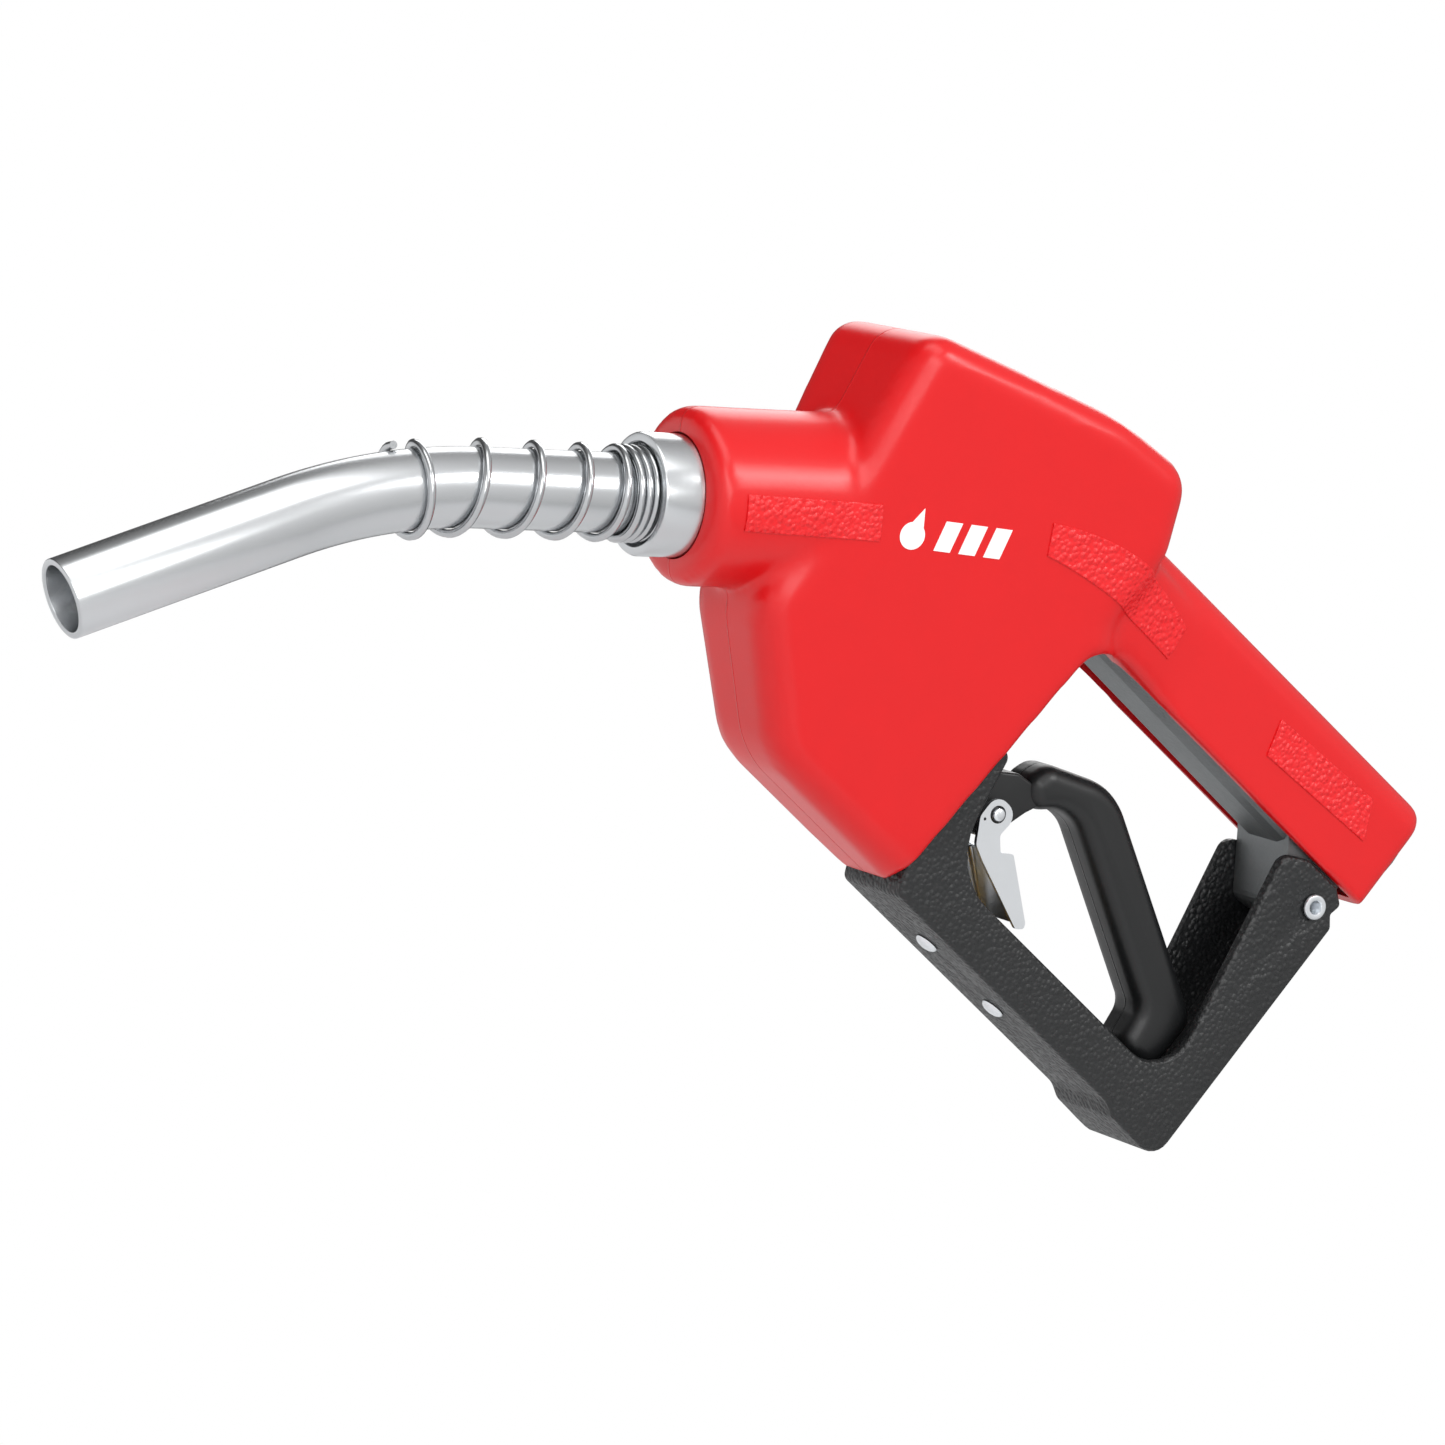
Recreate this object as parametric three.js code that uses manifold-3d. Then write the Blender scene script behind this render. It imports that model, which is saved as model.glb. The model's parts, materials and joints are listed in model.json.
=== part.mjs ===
// Automatic shut-off fuel nozzle, 3/4 inch inlet, 15/16 inch spout.
// Millimetres. +X runs along the grip towards the hose, +Z is up, Y = 0 is the plane of symmetry.
// The origin is the centre of the hose inlet's end face.

import * as THREE from 'three';
import { mergeVertices } from 'three/addons/utils/BufferGeometryUtils.js';
import Module from 'manifold-3d';

const wasm = await Module();
wasm.setup();

// ---------------------------------------------------------------- driving dimensions

const GAP = 0.3; // clearance left between pieces that touch

const OUTLET_FACE = { x: -282, z: -83 }; // origin on the outlet axis, 5.5 mm behind the spout collar's front face
const OUTLET_ANGLE = 38; // degrees between the spout's straight end and the grip

const SPOUT_RADIUS = 11.9; // 15/16 inch outside diameter
const SPOUT_WALL = 2;
const SPOUT_INSERTION = 26; // length held inside the collar
const SPOUT_STRAIGHT = 58; // outlet origin to the start of the bend
const SPOUT_BEND_RADIUS = 175;
const SPOUT_BEND_ANGLE = 20.3;
const SPOUT_END = 72.6; // straight length after the bend

const VALVE_X = -174; // main valve and stem axis
const PLUNGER_X = -219; // latch plunger and diaphragm axis
const PIVOT_Z = -90; // lever pivot height on the plunger axis

const INLET_FACE_X = -3.5; // the inlet's end face, where the part's origin is
const GRIP = { half: 19, rear: -5, wall: 2.7, round: 9 };
const GRIP_TOP = { front: 15.8, rear: 19 }; // the grip grows taller towards the hose
const GRIP_EDGE = { front: -20.8, rear: -18.4 }; // lower edge of the cover on each side
const GRIP_FRONT = -165; // how far the grip reaches into the body
const CASTING_GRIP = { half: 15.8, top: 12.6, bottom: -20.4, rear: -15.5 };
const INLET = { bore: 12.1, mouth: 13.6, depth: 22, passage: 8.8, ring: 15.4 };

const COVER_HALF = 32; // half width of the cover at z = 10
const COVER_LEAN = 0.087; // how fast that half width shrinks going down
const COVER_ROUND = 9; // radius of the cover's long edges
const COVER_WALL = 2.5;
const COVER_OPEN_X = -144.5; // plain rear edge of the cover below the grip

const GUARD = { half: 17, wall: 3.2, bottom: -121, foot: -123.6, rear: -8.5, tucked: -113 };
const RIVETS_X = [-112.7, -79.5];
const REAR_PIN = { x: -19.2, z: -29.7 };
const FRONT_PIN = { x: -190, z: -60 };

const LEVER_HALF = 9.5;
const LEVER_ROUND = 5.5; // radius of the hand bar's long edges
const LEVER_FORK_HALF = 7;
const LATCH_PIVOT = { x: -127.6, z: -79.8 };
const LATCH_HALF = 12;
const LATCH_SHEET = 1.4;

// ---------------------------------------------------------------- finishes

function finish(color, roughness, metalness) {
  return { color, roughness, metalness };
}

const FINISH = {
  casting: finish(0x7b7d7f, 0.55, 0.9),
  redVinyl: finish(0xe8262b, 0.45, 0),
  aluminium: finish(0xc4c6c8, 0.35, 1),
  springSteel: finish(0x8f9193, 0.3, 1),
  zincSteel: finish(0xd3d5d8, 0.3, 1),
  goldZinc: finish(0xb99a4e, 0.35, 1),
  blackPlastic: finish(0x242526, 0.6, 0),
  blackLever: finish(0x1b1c1d, 0.45, 0.1),
  brass: finish(0xb5923f, 0.35, 1),
  rubber: finish(0x161616, 0.8, 0),
  acetal: finish(0xe9e9e4, 0.5, 0),
  stainless: finish(0xb2b4b6, 0.25, 1),
};

// ---------------------------------------------------------------- geometry helpers

function signedVolume(position, index) {
  const a = new THREE.Vector3();
  const b = new THREE.Vector3();
  const c = new THREE.Vector3();
  let total = 0;
  for (let i = 0; i < index.length; i += 3) {
    a.fromBufferAttribute(position, index[i]);
    b.fromBufferAttribute(position, index[i + 1]);
    c.fromBufferAttribute(position, index[i + 2]);
    total += a.dot(b.cross(c)) / 6;
  }
  return total;
}

// Merges shared vertices, drops empty triangles and turns every face outwards.
function closed(geometry) {
  geometry.deleteAttribute('normal');
  geometry.deleteAttribute('uv');
  const merged = mergeVertices(geometry, 1e-4);
  const source = merged.index.array;
  const kept = [];
  for (let i = 0; i < source.length; i += 3) {
    const [a, b, c] = [source[i], source[i + 1], source[i + 2]];
    if (a !== b && b !== c && c !== a) kept.push(a, b, c);
  }
  if (signedVolume(merged.attributes.position, kept) < 0) kept.reverse();
  merged.setIndex(kept);
  return merged;
}

function toSolid(geometry) {
  const vertProperties = new Float32Array(geometry.attributes.position.array);
  const triVerts = new Uint32Array(geometry.index.array);
  return new wasm.Manifold(new wasm.Mesh({ numProp: 3, vertProperties, triVerts }));
}

function toGeometry(solid) {
  const mesh = solid.getMesh();
  const geometry = new THREE.BufferGeometry();
  geometry.setAttribute('position', new THREE.BufferAttribute(new Float32Array(mesh.vertProperties), 3));
  geometry.setIndex(new THREE.BufferAttribute(new Uint32Array(mesh.triVerts), 1));
  return geometry;
}

function join(first, ...others) {
  return toGeometry(others.reduce((solid, next) => solid.add(toSolid(next)), toSolid(first)));
}

function cut(first, ...others) {
  return toGeometry(others.reduce((solid, next) => solid.subtract(toSolid(next)), toSolid(first)));
}

// Points of a closed outline whose corners [u, v, radius] are rounded with arcs.
function rounded(corners, arcSteps = 3) {
  const points = [];
  corners.forEach(([u, v, radius = 0], i) => {
    const corner = new THREE.Vector2(u, v);
    const before = corners[(i + corners.length - 1) % corners.length];
    const after = corners[(i + 1) % corners.length];
    const back = new THREE.Vector2(before[0], before[1]).sub(corner).normalize();
    const ahead = new THREE.Vector2(after[0], after[1]).sub(corner).normalize();
    const half = Math.acos(THREE.MathUtils.clamp(back.dot(ahead), -1, 1)) / 2;
    if (radius === 0 || Math.PI / 2 - half < 1e-3) {
      points.push(corner);
      return;
    }
    const reach = radius / Math.tan(half);
    const from = corner.clone().addScaledVector(back, reach);
    const to = corner.clone().addScaledVector(ahead, reach);
    const centre = corner.clone().addScaledVector(back.clone().add(ahead).normalize(), radius / Math.sin(half));
    const start = from.clone().sub(centre).angle();
    const sweep = Math.atan2(
      from.clone().sub(centre).cross(to.clone().sub(centre)),
      from.clone().sub(centre).dot(to.clone().sub(centre)),
    );
    for (let k = 0; k <= arcSteps; k += 1) {
      const angle = start + (sweep * k) / arcSteps;
      points.push(new THREE.Vector2(centre.x + radius * Math.cos(angle), centre.y + radius * Math.sin(angle)));
    }
  });
  return points;
}

// A flat plate: the outline lies in X-Z and the thickness runs from y = from to y = to.
function plate(corners, from, to, arcSteps = 3) {
  const shape = new THREE.Shape(rounded(corners, arcSteps));
  const geometry = new THREE.ExtrudeGeometry(shape, { depth: to - from, bevelEnabled: false });
  geometry.rotateX(Math.PI / 2);
  geometry.translate(0, to, 0);
  return closed(geometry);
}

// A bar along X whose section has corners [y, z, radius].
function bar(corners, from, to, arcSteps = 3) {
  const shape = new THREE.Shape(rounded(corners, arcSteps));
  const geometry = new THREE.ExtrudeGeometry(shape, { depth: to - from, bevelEnabled: false });
  geometry.rotateX(Math.PI / 2);
  geometry.rotateZ(Math.PI / 2);
  geometry.translate(from, 0, 0);
  return closed(geometry);
}

// A body turned about Z from a profile of [radius, z] points that closes on itself or on the axis.
function turned(profile, sides = 32) {
  const onAxis = profile[0][0] === 0;
  const loop = onAxis ? profile : [...profile, profile[0]];
  const points = loop.map(([radius, z]) => new THREE.Vector2(radius, z));
  const geometry = new THREE.LatheGeometry(points, sides);
  geometry.rotateX(Math.PI / 2);
  return closed(geometry);
}

function disc(radius, from, to, sides = 32) {
  return turned([[0, from], [radius, from], [radius, to], [0, to]], sides);
}

function ring(outer, inner, from, to, sides = 32) {
  return turned([[inner, from], [outer, from], [outer, to], [inner, to]], sides);
}

// A torus-like ring with a round section, lying around Z.
function roundRing(radius, section, z, sides = 24, sectionSides = 8) {
  const profile = [];
  for (let k = 0; k < sectionSides; k += 1) {
    const angle = (k / sectionSides) * Math.PI * 2;
    profile.push([radius + section * Math.cos(angle), z + section * Math.sin(angle)]);
  }
  return turned(profile, sides);
}

function moved(geometry, x, y, z) {
  return geometry.translate(x, y, z);
}

function lyingAlongX(geometry) {
  return geometry.rotateY(Math.PI / 2);
}

function lyingAlongY(geometry) {
  return geometry.rotateX(-Math.PI / 2);
}

// A round pin or hole along Y through the point at x, z.
function crossPin(at, radius, from, to, sides = 16) {
  return moved(lyingAlongY(disc(radius, from, to, sides)), at.x, 0, at.z);
}

// Carries a geometry from the outlet's own frame, with its axis along Z, into the nozzle's frame.
function onOutlet(geometry) {
  geometry.rotateY(THREE.MathUtils.degToRad(90 - OUTLET_ANGLE));
  return moved(geometry, OUTLET_FACE.x, 0, OUTLET_FACE.z);
}

// Wire wound about Z. heights[k] is the wire's height after k whole turns.
class WireCoil extends THREE.Curve {
  constructor(radius, heights) {
    super();
    this.radius = radius;
    this.heights = heights;
  }

  getPoint(t, target = new THREE.Vector3()) {
    const turns = t * (this.heights.length - 1);
    const whole = Math.min(Math.floor(turns), this.heights.length - 2);
    const z = THREE.MathUtils.lerp(this.heights[whole], this.heights[whole + 1], turns - whole);
    const angle = turns * Math.PI * 2;
    return target.set(this.radius * Math.cos(angle), this.radius * Math.sin(angle), z);
  }
}

function circle(radius, sides) {
  const points = [];
  for (let k = 0; k < sides; k += 1) {
    const angle = (k / sides) * Math.PI * 2;
    points.push(new THREE.Vector2(radius * Math.cos(angle), radius * Math.sin(angle)));
  }
  return points;
}

function coil(radius, wire, heights, stepsPerTurn = 10, wireSides = 6) {
  const path = new WireCoil(radius, heights);
  const steps = Math.round(stepsPerTurn * (heights.length - 1));
  const shape = new THREE.Shape(circle(wire / 2, wireSides));
  return closed(new THREE.ExtrudeGeometry(shape, { extrudePath: path, steps, bevelEnabled: false }));
}

// Heights of an evenly wound spring whose wire stays between z = from and z = to.
function evenHeights(from, to, turns, wire) {
  const low = from + wire / 2;
  const high = to - wire / 2;
  return Array.from({ length: turns + 1 }, (_, k) => THREE.MathUtils.lerp(low, high, k / turns));
}

// Moves every edge of a corner list inwards (counter-clockwise outline) by the same distance.
function inset(corners, distance) {
  const count = corners.length;
  return corners.map(([u, v, radius = 0], i) => {
    const corner = new THREE.Vector2(u, v);
    const before = new THREE.Vector2(...corners[(i + count - 1) % count]).sub(corner).negate().normalize();
    const after = new THREE.Vector2(...corners[(i + 1) % count]).sub(corner).normalize();
    const turn = before.cross(after);
    const bisector = new THREE.Vector2(-before.y - after.y, before.x + after.x).normalize();
    const reach = distance / Math.max(bisector.dot(new THREE.Vector2(-before.y, before.x)), 0.2);
    const grown = turn > 0 ? Math.max(radius - distance, 0.5) : radius + distance;
    return [u + bisector.x * reach, v + bisector.y * reach, grown];
  });
}

function halfWidth(z, half, lean) {
  return half + lean * (z - 10);
}

// A plate with rounded long edges. A lean makes it narrower towards the bottom.
function pillow(corners, half, edgeRadius, { lean = 0, edgeSteps = 3, arcSteps = 3 } = {}) {
  const layers = [];
  for (let k = 0; k <= edgeSteps; k += 1) {
    const angle = ((Math.PI / 2) * k) / edgeSteps;
    const outline = rounded(inset(corners, edgeRadius * (1 - Math.cos(angle))), arcSteps);
    const reach = (half - edgeRadius + edgeRadius * Math.sin(angle)) / half;
    layers.push({ outline, reach });
  }
  const stack = [...layers].reverse().map(({ outline, reach }) => ({ outline, reach: -reach }));
  stack.push(...layers);
  const positions = [];
  stack.forEach(({ outline, reach }) => {
    outline.forEach((p) => positions.push(p.x, reach * halfWidth(p.y, half, lean), p.y));
  });
  const count = layers[0].outline.length;
  const index = [];
  for (let row = 0; row + 1 < stack.length; row += 1) {
    for (let k = 0; k < count; k += 1) {
      const a = row * count + k;
      const b = row * count + ((k + 1) % count);
      index.push(a, b, b + count, a, b + count, a + count);
    }
  }
  const cap = THREE.ShapeUtils.triangulateShape(stack[0].outline, []);
  const last = (stack.length - 1) * count;
  cap.forEach(([a, b, c]) => {
    index.push(a, c, b);
    index.push(last + a, last + b, last + c);
  });
  const geometry = new THREE.BufferGeometry();
  geometry.setAttribute('position', new THREE.BufferAttribute(new Float32Array(positions), 3));
  geometry.setIndex(index);
  return closed(geometry);
}

// ---------------------------------------------------------------- spout and outlet (outlet frame)

// The spout's centre line: straight, bent towards +X of the outlet frame, straight again.
class SpoutPath extends THREE.Curve {
  constructor(start, end, offset) {
    super();
    this.start = start;
    this.end = end;
    this.offset = offset;
  }

  getPoint(t, target = new THREE.Vector3()) {
    const bendAngle = THREE.MathUtils.degToRad(SPOUT_BEND_ANGLE);
    const bendLength = SPOUT_BEND_RADIUS * bendAngle;
    const along = THREE.MathUtils.lerp(this.start, this.end, t) - SPOUT_STRAIGHT;
    const angle = THREE.MathUtils.clamp(along / SPOUT_BEND_RADIUS, 0, bendAngle);
    const before = Math.min(along, 0);
    const after = Math.max(along - bendLength, 0);
    const radius = SPOUT_BEND_RADIUS - this.offset;
    const x = SPOUT_BEND_RADIUS - radius * Math.cos(angle) + after * Math.sin(angle);
    const z = -SPOUT_STRAIGHT - before - radius * Math.sin(angle) - after * Math.cos(angle);
    return target.set(x, 0, z);
  }
}

const SPOUT_LENGTH = SPOUT_STRAIGHT + SPOUT_BEND_RADIUS * THREE.MathUtils.degToRad(SPOUT_BEND_ANGLE) + SPOUT_END;

function spoutTube() {
  const shape = new THREE.Shape(circle(SPOUT_RADIUS, 20));
  shape.holes.push(new THREE.Path(circle(SPOUT_RADIUS - SPOUT_WALL, 20)));
  const extrudePath = new SpoutPath(-SPOUT_INSERTION, SPOUT_LENGTH, 0);
  const tube = closed(new THREE.ExtrudeGeometry(shape, { extrudePath, steps: 12, bevelEnabled: false }));
  return cut(tube, ventPortHole());
}

// The small sensing hole near the tip, where the vent tube's port looks out.
function ventPortHole() {
  const path = new SpoutPath(0, SPOUT_LENGTH - 12, 0);
  const at = path.getPoint(1);
  const hole = lyingAlongX(disc(1.6, -SPOUT_RADIUS - 2, 0, 10));
  hole.rotateY(THREE.MathUtils.degToRad(-SPOUT_BEND_ANGLE));
  return moved(hole, at.x, 0, at.z);
}

function ventTube() {
  const shape = new THREE.Shape(circle(2.4, 8));
  shape.holes.push(new THREE.Path(circle(1.5, 8)));
  const extrudePath = new SpoutPath(4 - SPOUT_INSERTION, SPOUT_LENGTH - 8, -6.6);
  return closed(new THREE.ExtrudeGeometry(shape, { extrudePath, steps: 10, bevelEnabled: false }));
}

// Wire wound round the spout's centre line. distances[k] is how far along it the wire is after k turns.
class SpoutCoil extends THREE.Curve {
  constructor(radius, distances) {
    super();
    this.radius = radius;
    this.distances = distances;
  }

  getPoint(t, target = new THREE.Vector3()) {
    const turns = t * (this.distances.length - 1);
    const whole = Math.min(Math.floor(turns), this.distances.length - 2);
    const along = THREE.MathUtils.lerp(this.distances[whole], this.distances[whole + 1], turns - whole);
    const bend = Math.max(along - SPOUT_STRAIGHT, 0) / SPOUT_BEND_RADIUS;
    const inPlane = -this.radius * Math.cos(turns * Math.PI * 2);
    const across = this.radius * Math.sin(turns * Math.PI * 2);
    new SpoutPath(0, along, 0).getPoint(1, target);
    return target.add(new THREE.Vector3(inPlane * Math.cos(bend), across, inPlane * Math.sin(bend)));
  }
}

// Two close coils at the free end, open coils along the spout, close coils in the collar.
function anchorSpring() {
  const distances = [84.6, 78.2, 58, 40.5, 25, 12.9, 10.3, 7.7, 5.1, 2.5];
  const shape = new THREE.Shape(circle(1.25, 5));
  const extrudePath = new SpoutCoil(13.8, distances);
  return closed(new THREE.ExtrudeGeometry(shape, { extrudePath, steps: 100, bevelEnabled: false }));
}

function spoutCollar() {
  const bore = SPOUT_RADIUS + GAP;
  const blank = turned([
    [bore, 0.5], [15.4, 0.5], [15.4, -5.5], [17.2, -5.5], [18.4, -4.3], [18.4, 21.7], [17, 21.7], [17, 30.6], [bore, 30.6],
    [bore, 27], [14.6, 27], [14.6, 23], [bore, 23],
  ], 28);
  return cut(blank, moved(lyingAlongY(disc(2.8, 11, 21, 10)), 0, 0, 11));
}

function spoutORing() {
  return roundRing(13.4, 0.9, 25, 16, 6);
}

function setScrew() {
  const screw = disc(2.5, 12.5, 17.9, 10);
  const socket = disc(1.3, 16, 20, 6);
  return moved(lyingAlongY(cut(screw, socket)), 0, 0, 11);
}

function checkGuide() {
  const rim = ring(13.8, 2.4, 31, 33.5, 20);
  const hub = ring(4, 2.4, 31, 37, 12);
  const windows = [0, 120, 240].map((angle) => {
    const window = moved(disc(3.9, 30, 35, 10), 8.6, 0, 0);
    return window.rotateZ(THREE.MathUtils.degToRad(angle));
  });
  return cut(join(rim, hub), ...windows);
}

function checkPoppet() {
  return turned([[0, 28.5], [2, 28.5], [2, 43], [8.5, 43], [11, 45], [11, 47], [7.6, 49.6], [0, 49.6]], 18);
}

function checkSeat() {
  return turned([[11.4, 47.4], [13.8, 47.4], [13.8, 54.4], [8.6, 54.4], [8.6, 50.6]], 18);
}

function checkSpring() {
  return coil(6, 1, evenHeights(33.9, 42.7, 3, 1), 8, 5);
}

// ---------------------------------------------------------------- body casting

function outletCavity() {
  return onOutlet(turned([
    [0, 20], [24.6, 20], [24.6, 22], [17.3, 22], [17.3, 30.8], [14.1, 30.8], [14.1, 54.7], [12.5, 54.7],
    [12.5, 84], [0, 84],
  ], 28));
}

function castingOutside() {
  const grip = CASTING_GRIP;
  const handle = bar([
    [-grip.half, grip.top, 8], [-grip.half, grip.bottom, 8], [grip.half, grip.bottom, 8], [grip.half, grip.top, 8],
  ], -160, grip.rear);
  const inletRing = lyingAlongX(disc(INLET.ring, INLET_FACE_X - INLET.depth - 2, INLET_FACE_X, 28));
  const barrel = moved(turned([
    [0, -50], [24, -50], [24, -12], [21.5, -12], [21.5, 19], [0, 19],
  ], 28), VALVE_X, 0, 0);
  const packingBoss = moved(disc(11, -58, -48, 16), VALVE_X, 0, 0);
  const outlet = onOutlet(disc(23.8, 22, 98, 28));
  const bridge = bar([[-20, -9, 5], [-20, -48, 5], [20, -48, 5], [20, -9, 5]], -214, VALVE_X);
  const bowl = moved(disc(21.5, -12, -2, 24), PLUNGER_X, 0, 0);
  const frontLug = plate([[-196, -44], [-196, -66, 4], [-184, -66, 4], [-184, -44]], -13, 13);
  const rearLug = plate([
    [-42, -16], [-38, -20.5, 4], [-24.8, -36.5, 5], [-13.6, -35.4, 5], [-13.6, -16],
  ], -14.2, 14.2);
  return join(handle, inletRing, barrel, packingBoss, outlet, bridge, bowl, frontLug, rearLug);
}

function castingFlowPassages() {
  const thread = moved(lyingAlongX(turned([
    [0, -INLET.depth], [INLET.bore, -INLET.depth], [INLET.bore, -1.6], [INLET.mouth, 0], [INLET.mouth, 2], [0, 2],
  ], 24)), INLET_FACE_X, 0, 0);
  const inlet = lyingAlongX(disc(INLET.passage, -157, INLET_FACE_X - INLET.depth + 1, 20));
  const upperChamber = moved(turned([
    [0, -6], [18, -6], [18, 17.2], [20.2, 17.2], [20.2, 21], [0, 21],
  ], 24), VALVE_X, 0, 0);
  const seatOpening = moved(disc(12.5, -10, -5, 24), VALVE_X, 0, 0);
  const lowerChamber = moved(disc(17, -42, -9, 24), VALVE_X, 0, 0);
  const crossover = moved(lyingAlongX(disc(14, PLUNGER_X - 6, VALVE_X, 20)), 0, 0, -28);
  return [thread, inlet, upperChamber, seatOpening, lowerChamber, crossover, outletCavity()];
}

function castingBores() {
  const stem = moved(turned([
    [0, -60], [7, -60], [7, -47.7], [3.4, -47.7], [3.4, -40], [0, -40],
  ], 14), VALVE_X, 0, 0);
  const plunger = moved(turned([
    [0, -78], [8.4, -78], [8.4, -49.7], [6.9, -49.7], [6.9, -24.3], [8.9, -24.3], [8.9, -8], [15, -8],
    [15, 0], [0, 0],
  ], 20), PLUNGER_X, 0, 0);
  const screws = capScrewPlaces().map(([x, y]) => moved(disc(1.6, -9.5, 0, 8), x, y, 0));
  const pins = [crossPin(FRONT_PIN, 2.8, -20, 20), crossPin(REAR_PIN, 3.2, -20, 20)];
  return [stem, plunger, ...screws, ...pins];
}

function bodyCasting() {
  const hollow = cut(castingOutside(), ...castingFlowPassages());
  const sleeve = join(
    moved(disc(10, -52, -8, 20), PLUNGER_X, 0, 0),
    moved(disc(10.5, -76, -48, 20), PLUNGER_X, 0, 0),
  );
  return cut(join(hollow, sleeve), ...castingBores());
}

// ---------------------------------------------------------------- grip cover

// Side view of the cover's body, counter-clockwise, with corner radii.
const COVER_OUTLINE = [
  [-246, -50, 12], [-243.5, -88.5, 8], [-204.5, -119.2, 9], [-134, -119.2, 2], [-134, -24, 3], [-143.5, -18, 3],
  [-142.5, 9, 4], [-157, 34, 7], [-187, 30.5, 14], [-217, 20.5, 14], [-257.5, 6.5, 6],
];

// Side view of the grip, taken in by the given distances at the sides and along the lower edge.
function gripOutline(inwards, below, rear) {
  const [frontTop, rearTop] = [GRIP_TOP.front - inwards, GRIP_TOP.rear - inwards];
  const round = GRIP.round - inwards;
  return [
    [GRIP_FRONT, frontTop], [GRIP_FRONT, GRIP_EDGE.front - below], [rear, GRIP_EDGE.rear - below, round],
    [rear, rearTop, round],
  ];
}

// Everything below the cover's lower edge along the grip.
function belowGripEdge() {
  return plate([
    [GRIP_FRONT - 1, GRIP_EDGE.front], [GRIP_FRONT - 1, -60], [5, -60], [5, GRIP_EDGE.rear],
  ], -40, 40);
}

function coverGrip() {
  const outline = gripOutline(0, GRIP.round, GRIP.rear);
  const rounding = { edgeSteps: 4, arcSteps: 4 };
  return cut(pillow(outline, GRIP.half, GRIP.round, rounding), belowGripEdge());
}

// The wedge that leads the wide body down to the narrow grip on each side.
function coverShoulder() {
  const wide = 28.5;
  const [front, rear] = [-172, -112];
  const wedge = plate([
    [front, GRIP_TOP.front - 5], [front, GRIP_EDGE.front - 1], [rear, GRIP_EDGE.front], [rear, GRIP_TOP.front - 6],
  ], -1, 1);
  const position = wedge.attributes.position;
  for (let i = 0; i < position.count; i += 1) {
    const along = THREE.MathUtils.inverseLerp(front, rear, position.getX(i));
    position.setY(i, position.getY(i) * THREE.MathUtils.lerp(wide, GRIP.half, along));
  }
  return wedge;
}

function coverOutside() {
  const body = pillow(COVER_OUTLINE, COVER_HALF, COVER_ROUND, { lean: COVER_LEAN, arcSteps: 2 });
  const behindOpenEdge = plate([
    [COVER_OPEN_X, -130], [COVER_OPEN_X + 40, -130], [COVER_OPEN_X + 40, -23.4], [COVER_OPEN_X, -23.4, 9],
  ], -40, 40);
  const boss = onOutlet(turned([
    [0, 7.6], [23.6, 7.6], [25.8, 9], [26.8, 12.5], [26.8, 66], [0, 66],
  ], 32));
  return join(cut(body, behindOpenEdge), coverGrip(), coverShoulder(), boss);
}

function coverInside() {
  const rounding = { lean: COVER_LEAN, edgeSteps: 2, arcSteps: 2 };
  const body = pillow(inset(COVER_OUTLINE, COVER_WALL), COVER_HALF - COVER_WALL, COVER_ROUND - COVER_WALL, rounding);
  const { wall, half, rear } = GRIP;
  const grip = pillow(gripOutline(wall, 20, rear - 4.3), half - wall, 7, { edgeSteps: 2, arcSteps: 2 });
  const inletBore = lyingAlongX(disc(INLET.ring + GAP, rear - 11, 5, 28));
  const inletSlot = plate([[rear - 6, -8], [rear - 6, -30], [5, -30], [5, -8]], -INLET.ring - GAP, INLET.ring + GAP);
  const underneath = plate([
    [-160, GRIP_EDGE.front - 0.3], [-160, -116.7, 3], [-120, -116.7], [-120, GRIP_EDGE.front - 0.3],
  ], -1, 1);
  const position = underneath.attributes.position;
  for (let i = 0; i < position.count; i += 1) {
    const half = halfWidth(position.getZ(i), COVER_HALF - COVER_WALL - 0.4, COVER_LEAN);
    position.setY(i, position.getY(i) * half);
  }
  const bossBore = onOutlet(turned([[0, 6], [19, 6], [19, 20.5], [24.2, 20.5], [24.2, 70], [0, 70]], 28));
  return [body, grip, inletBore, inletSlot, underneath, bossBore];
}

function gripCover() {
  return cut(coverOutside(), ...coverInside());
}

// ---------------------------------------------------------------- main valve

function discHolder() {
  return moved(turned([
    [0, -4], [3.4, -4], [3.4, -10], [6, -10], [6, -2.4], [15.8, -2.4], [15.8, 1], [4.2, 1], [4.2, 13], [0, 13],
  ], 20), VALVE_X, 0, 0);
}

function seatDisc() {
  return moved(ring(15.4, 6.3, -5.7, -2.7, 20), VALVE_X, 0, 0);
}

function valveStem() {
  return moved(turned([[0, -75.2], [2.2, -75.2], [3, -74], [3, -4.3], [0, -4.3]], 12), VALVE_X, 0, 0);
}

function mainSpring() {
  return moved(coil(10.4, 2, evenHeights(1.3, 21.7, 4, 2), 9, 5), VALVE_X, 0, 0);
}

function valveCap() {
  const plug = disc(17.7, 12, 20, 24);
  const flange = disc(20.6, 19.3, 22, 24);
  const hexagon = disc(16, 21, 26.5, 6);
  const guideBore = disc(4.7, 11, 24, 12);
  const springPocket = ring(13.6, 7.2, 11, 22, 18);
  return moved(cut(join(plug, flange, hexagon), guideBore, springPocket), VALVE_X, 0, 0);
}

function capORing() {
  return moved(roundRing(18.95, 0.8, 18.2, 20, 5), VALVE_X, 0, 0);
}

function stemPacking() {
  return moved(turned([[3.4, -55.6], [6.6, -55.6], [6.6, -49], [5, -48], [3.4, -49]], 12), VALVE_X, 0, 0);
}

function packingNut() {
  const nut = join(disc(9, -62.4, -58.3, 6), disc(6.6, -60, -56, 12));
  return moved(cut(nut, disc(3.4, -64, -54, 12)), VALVE_X, 0, 0);
}

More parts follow.
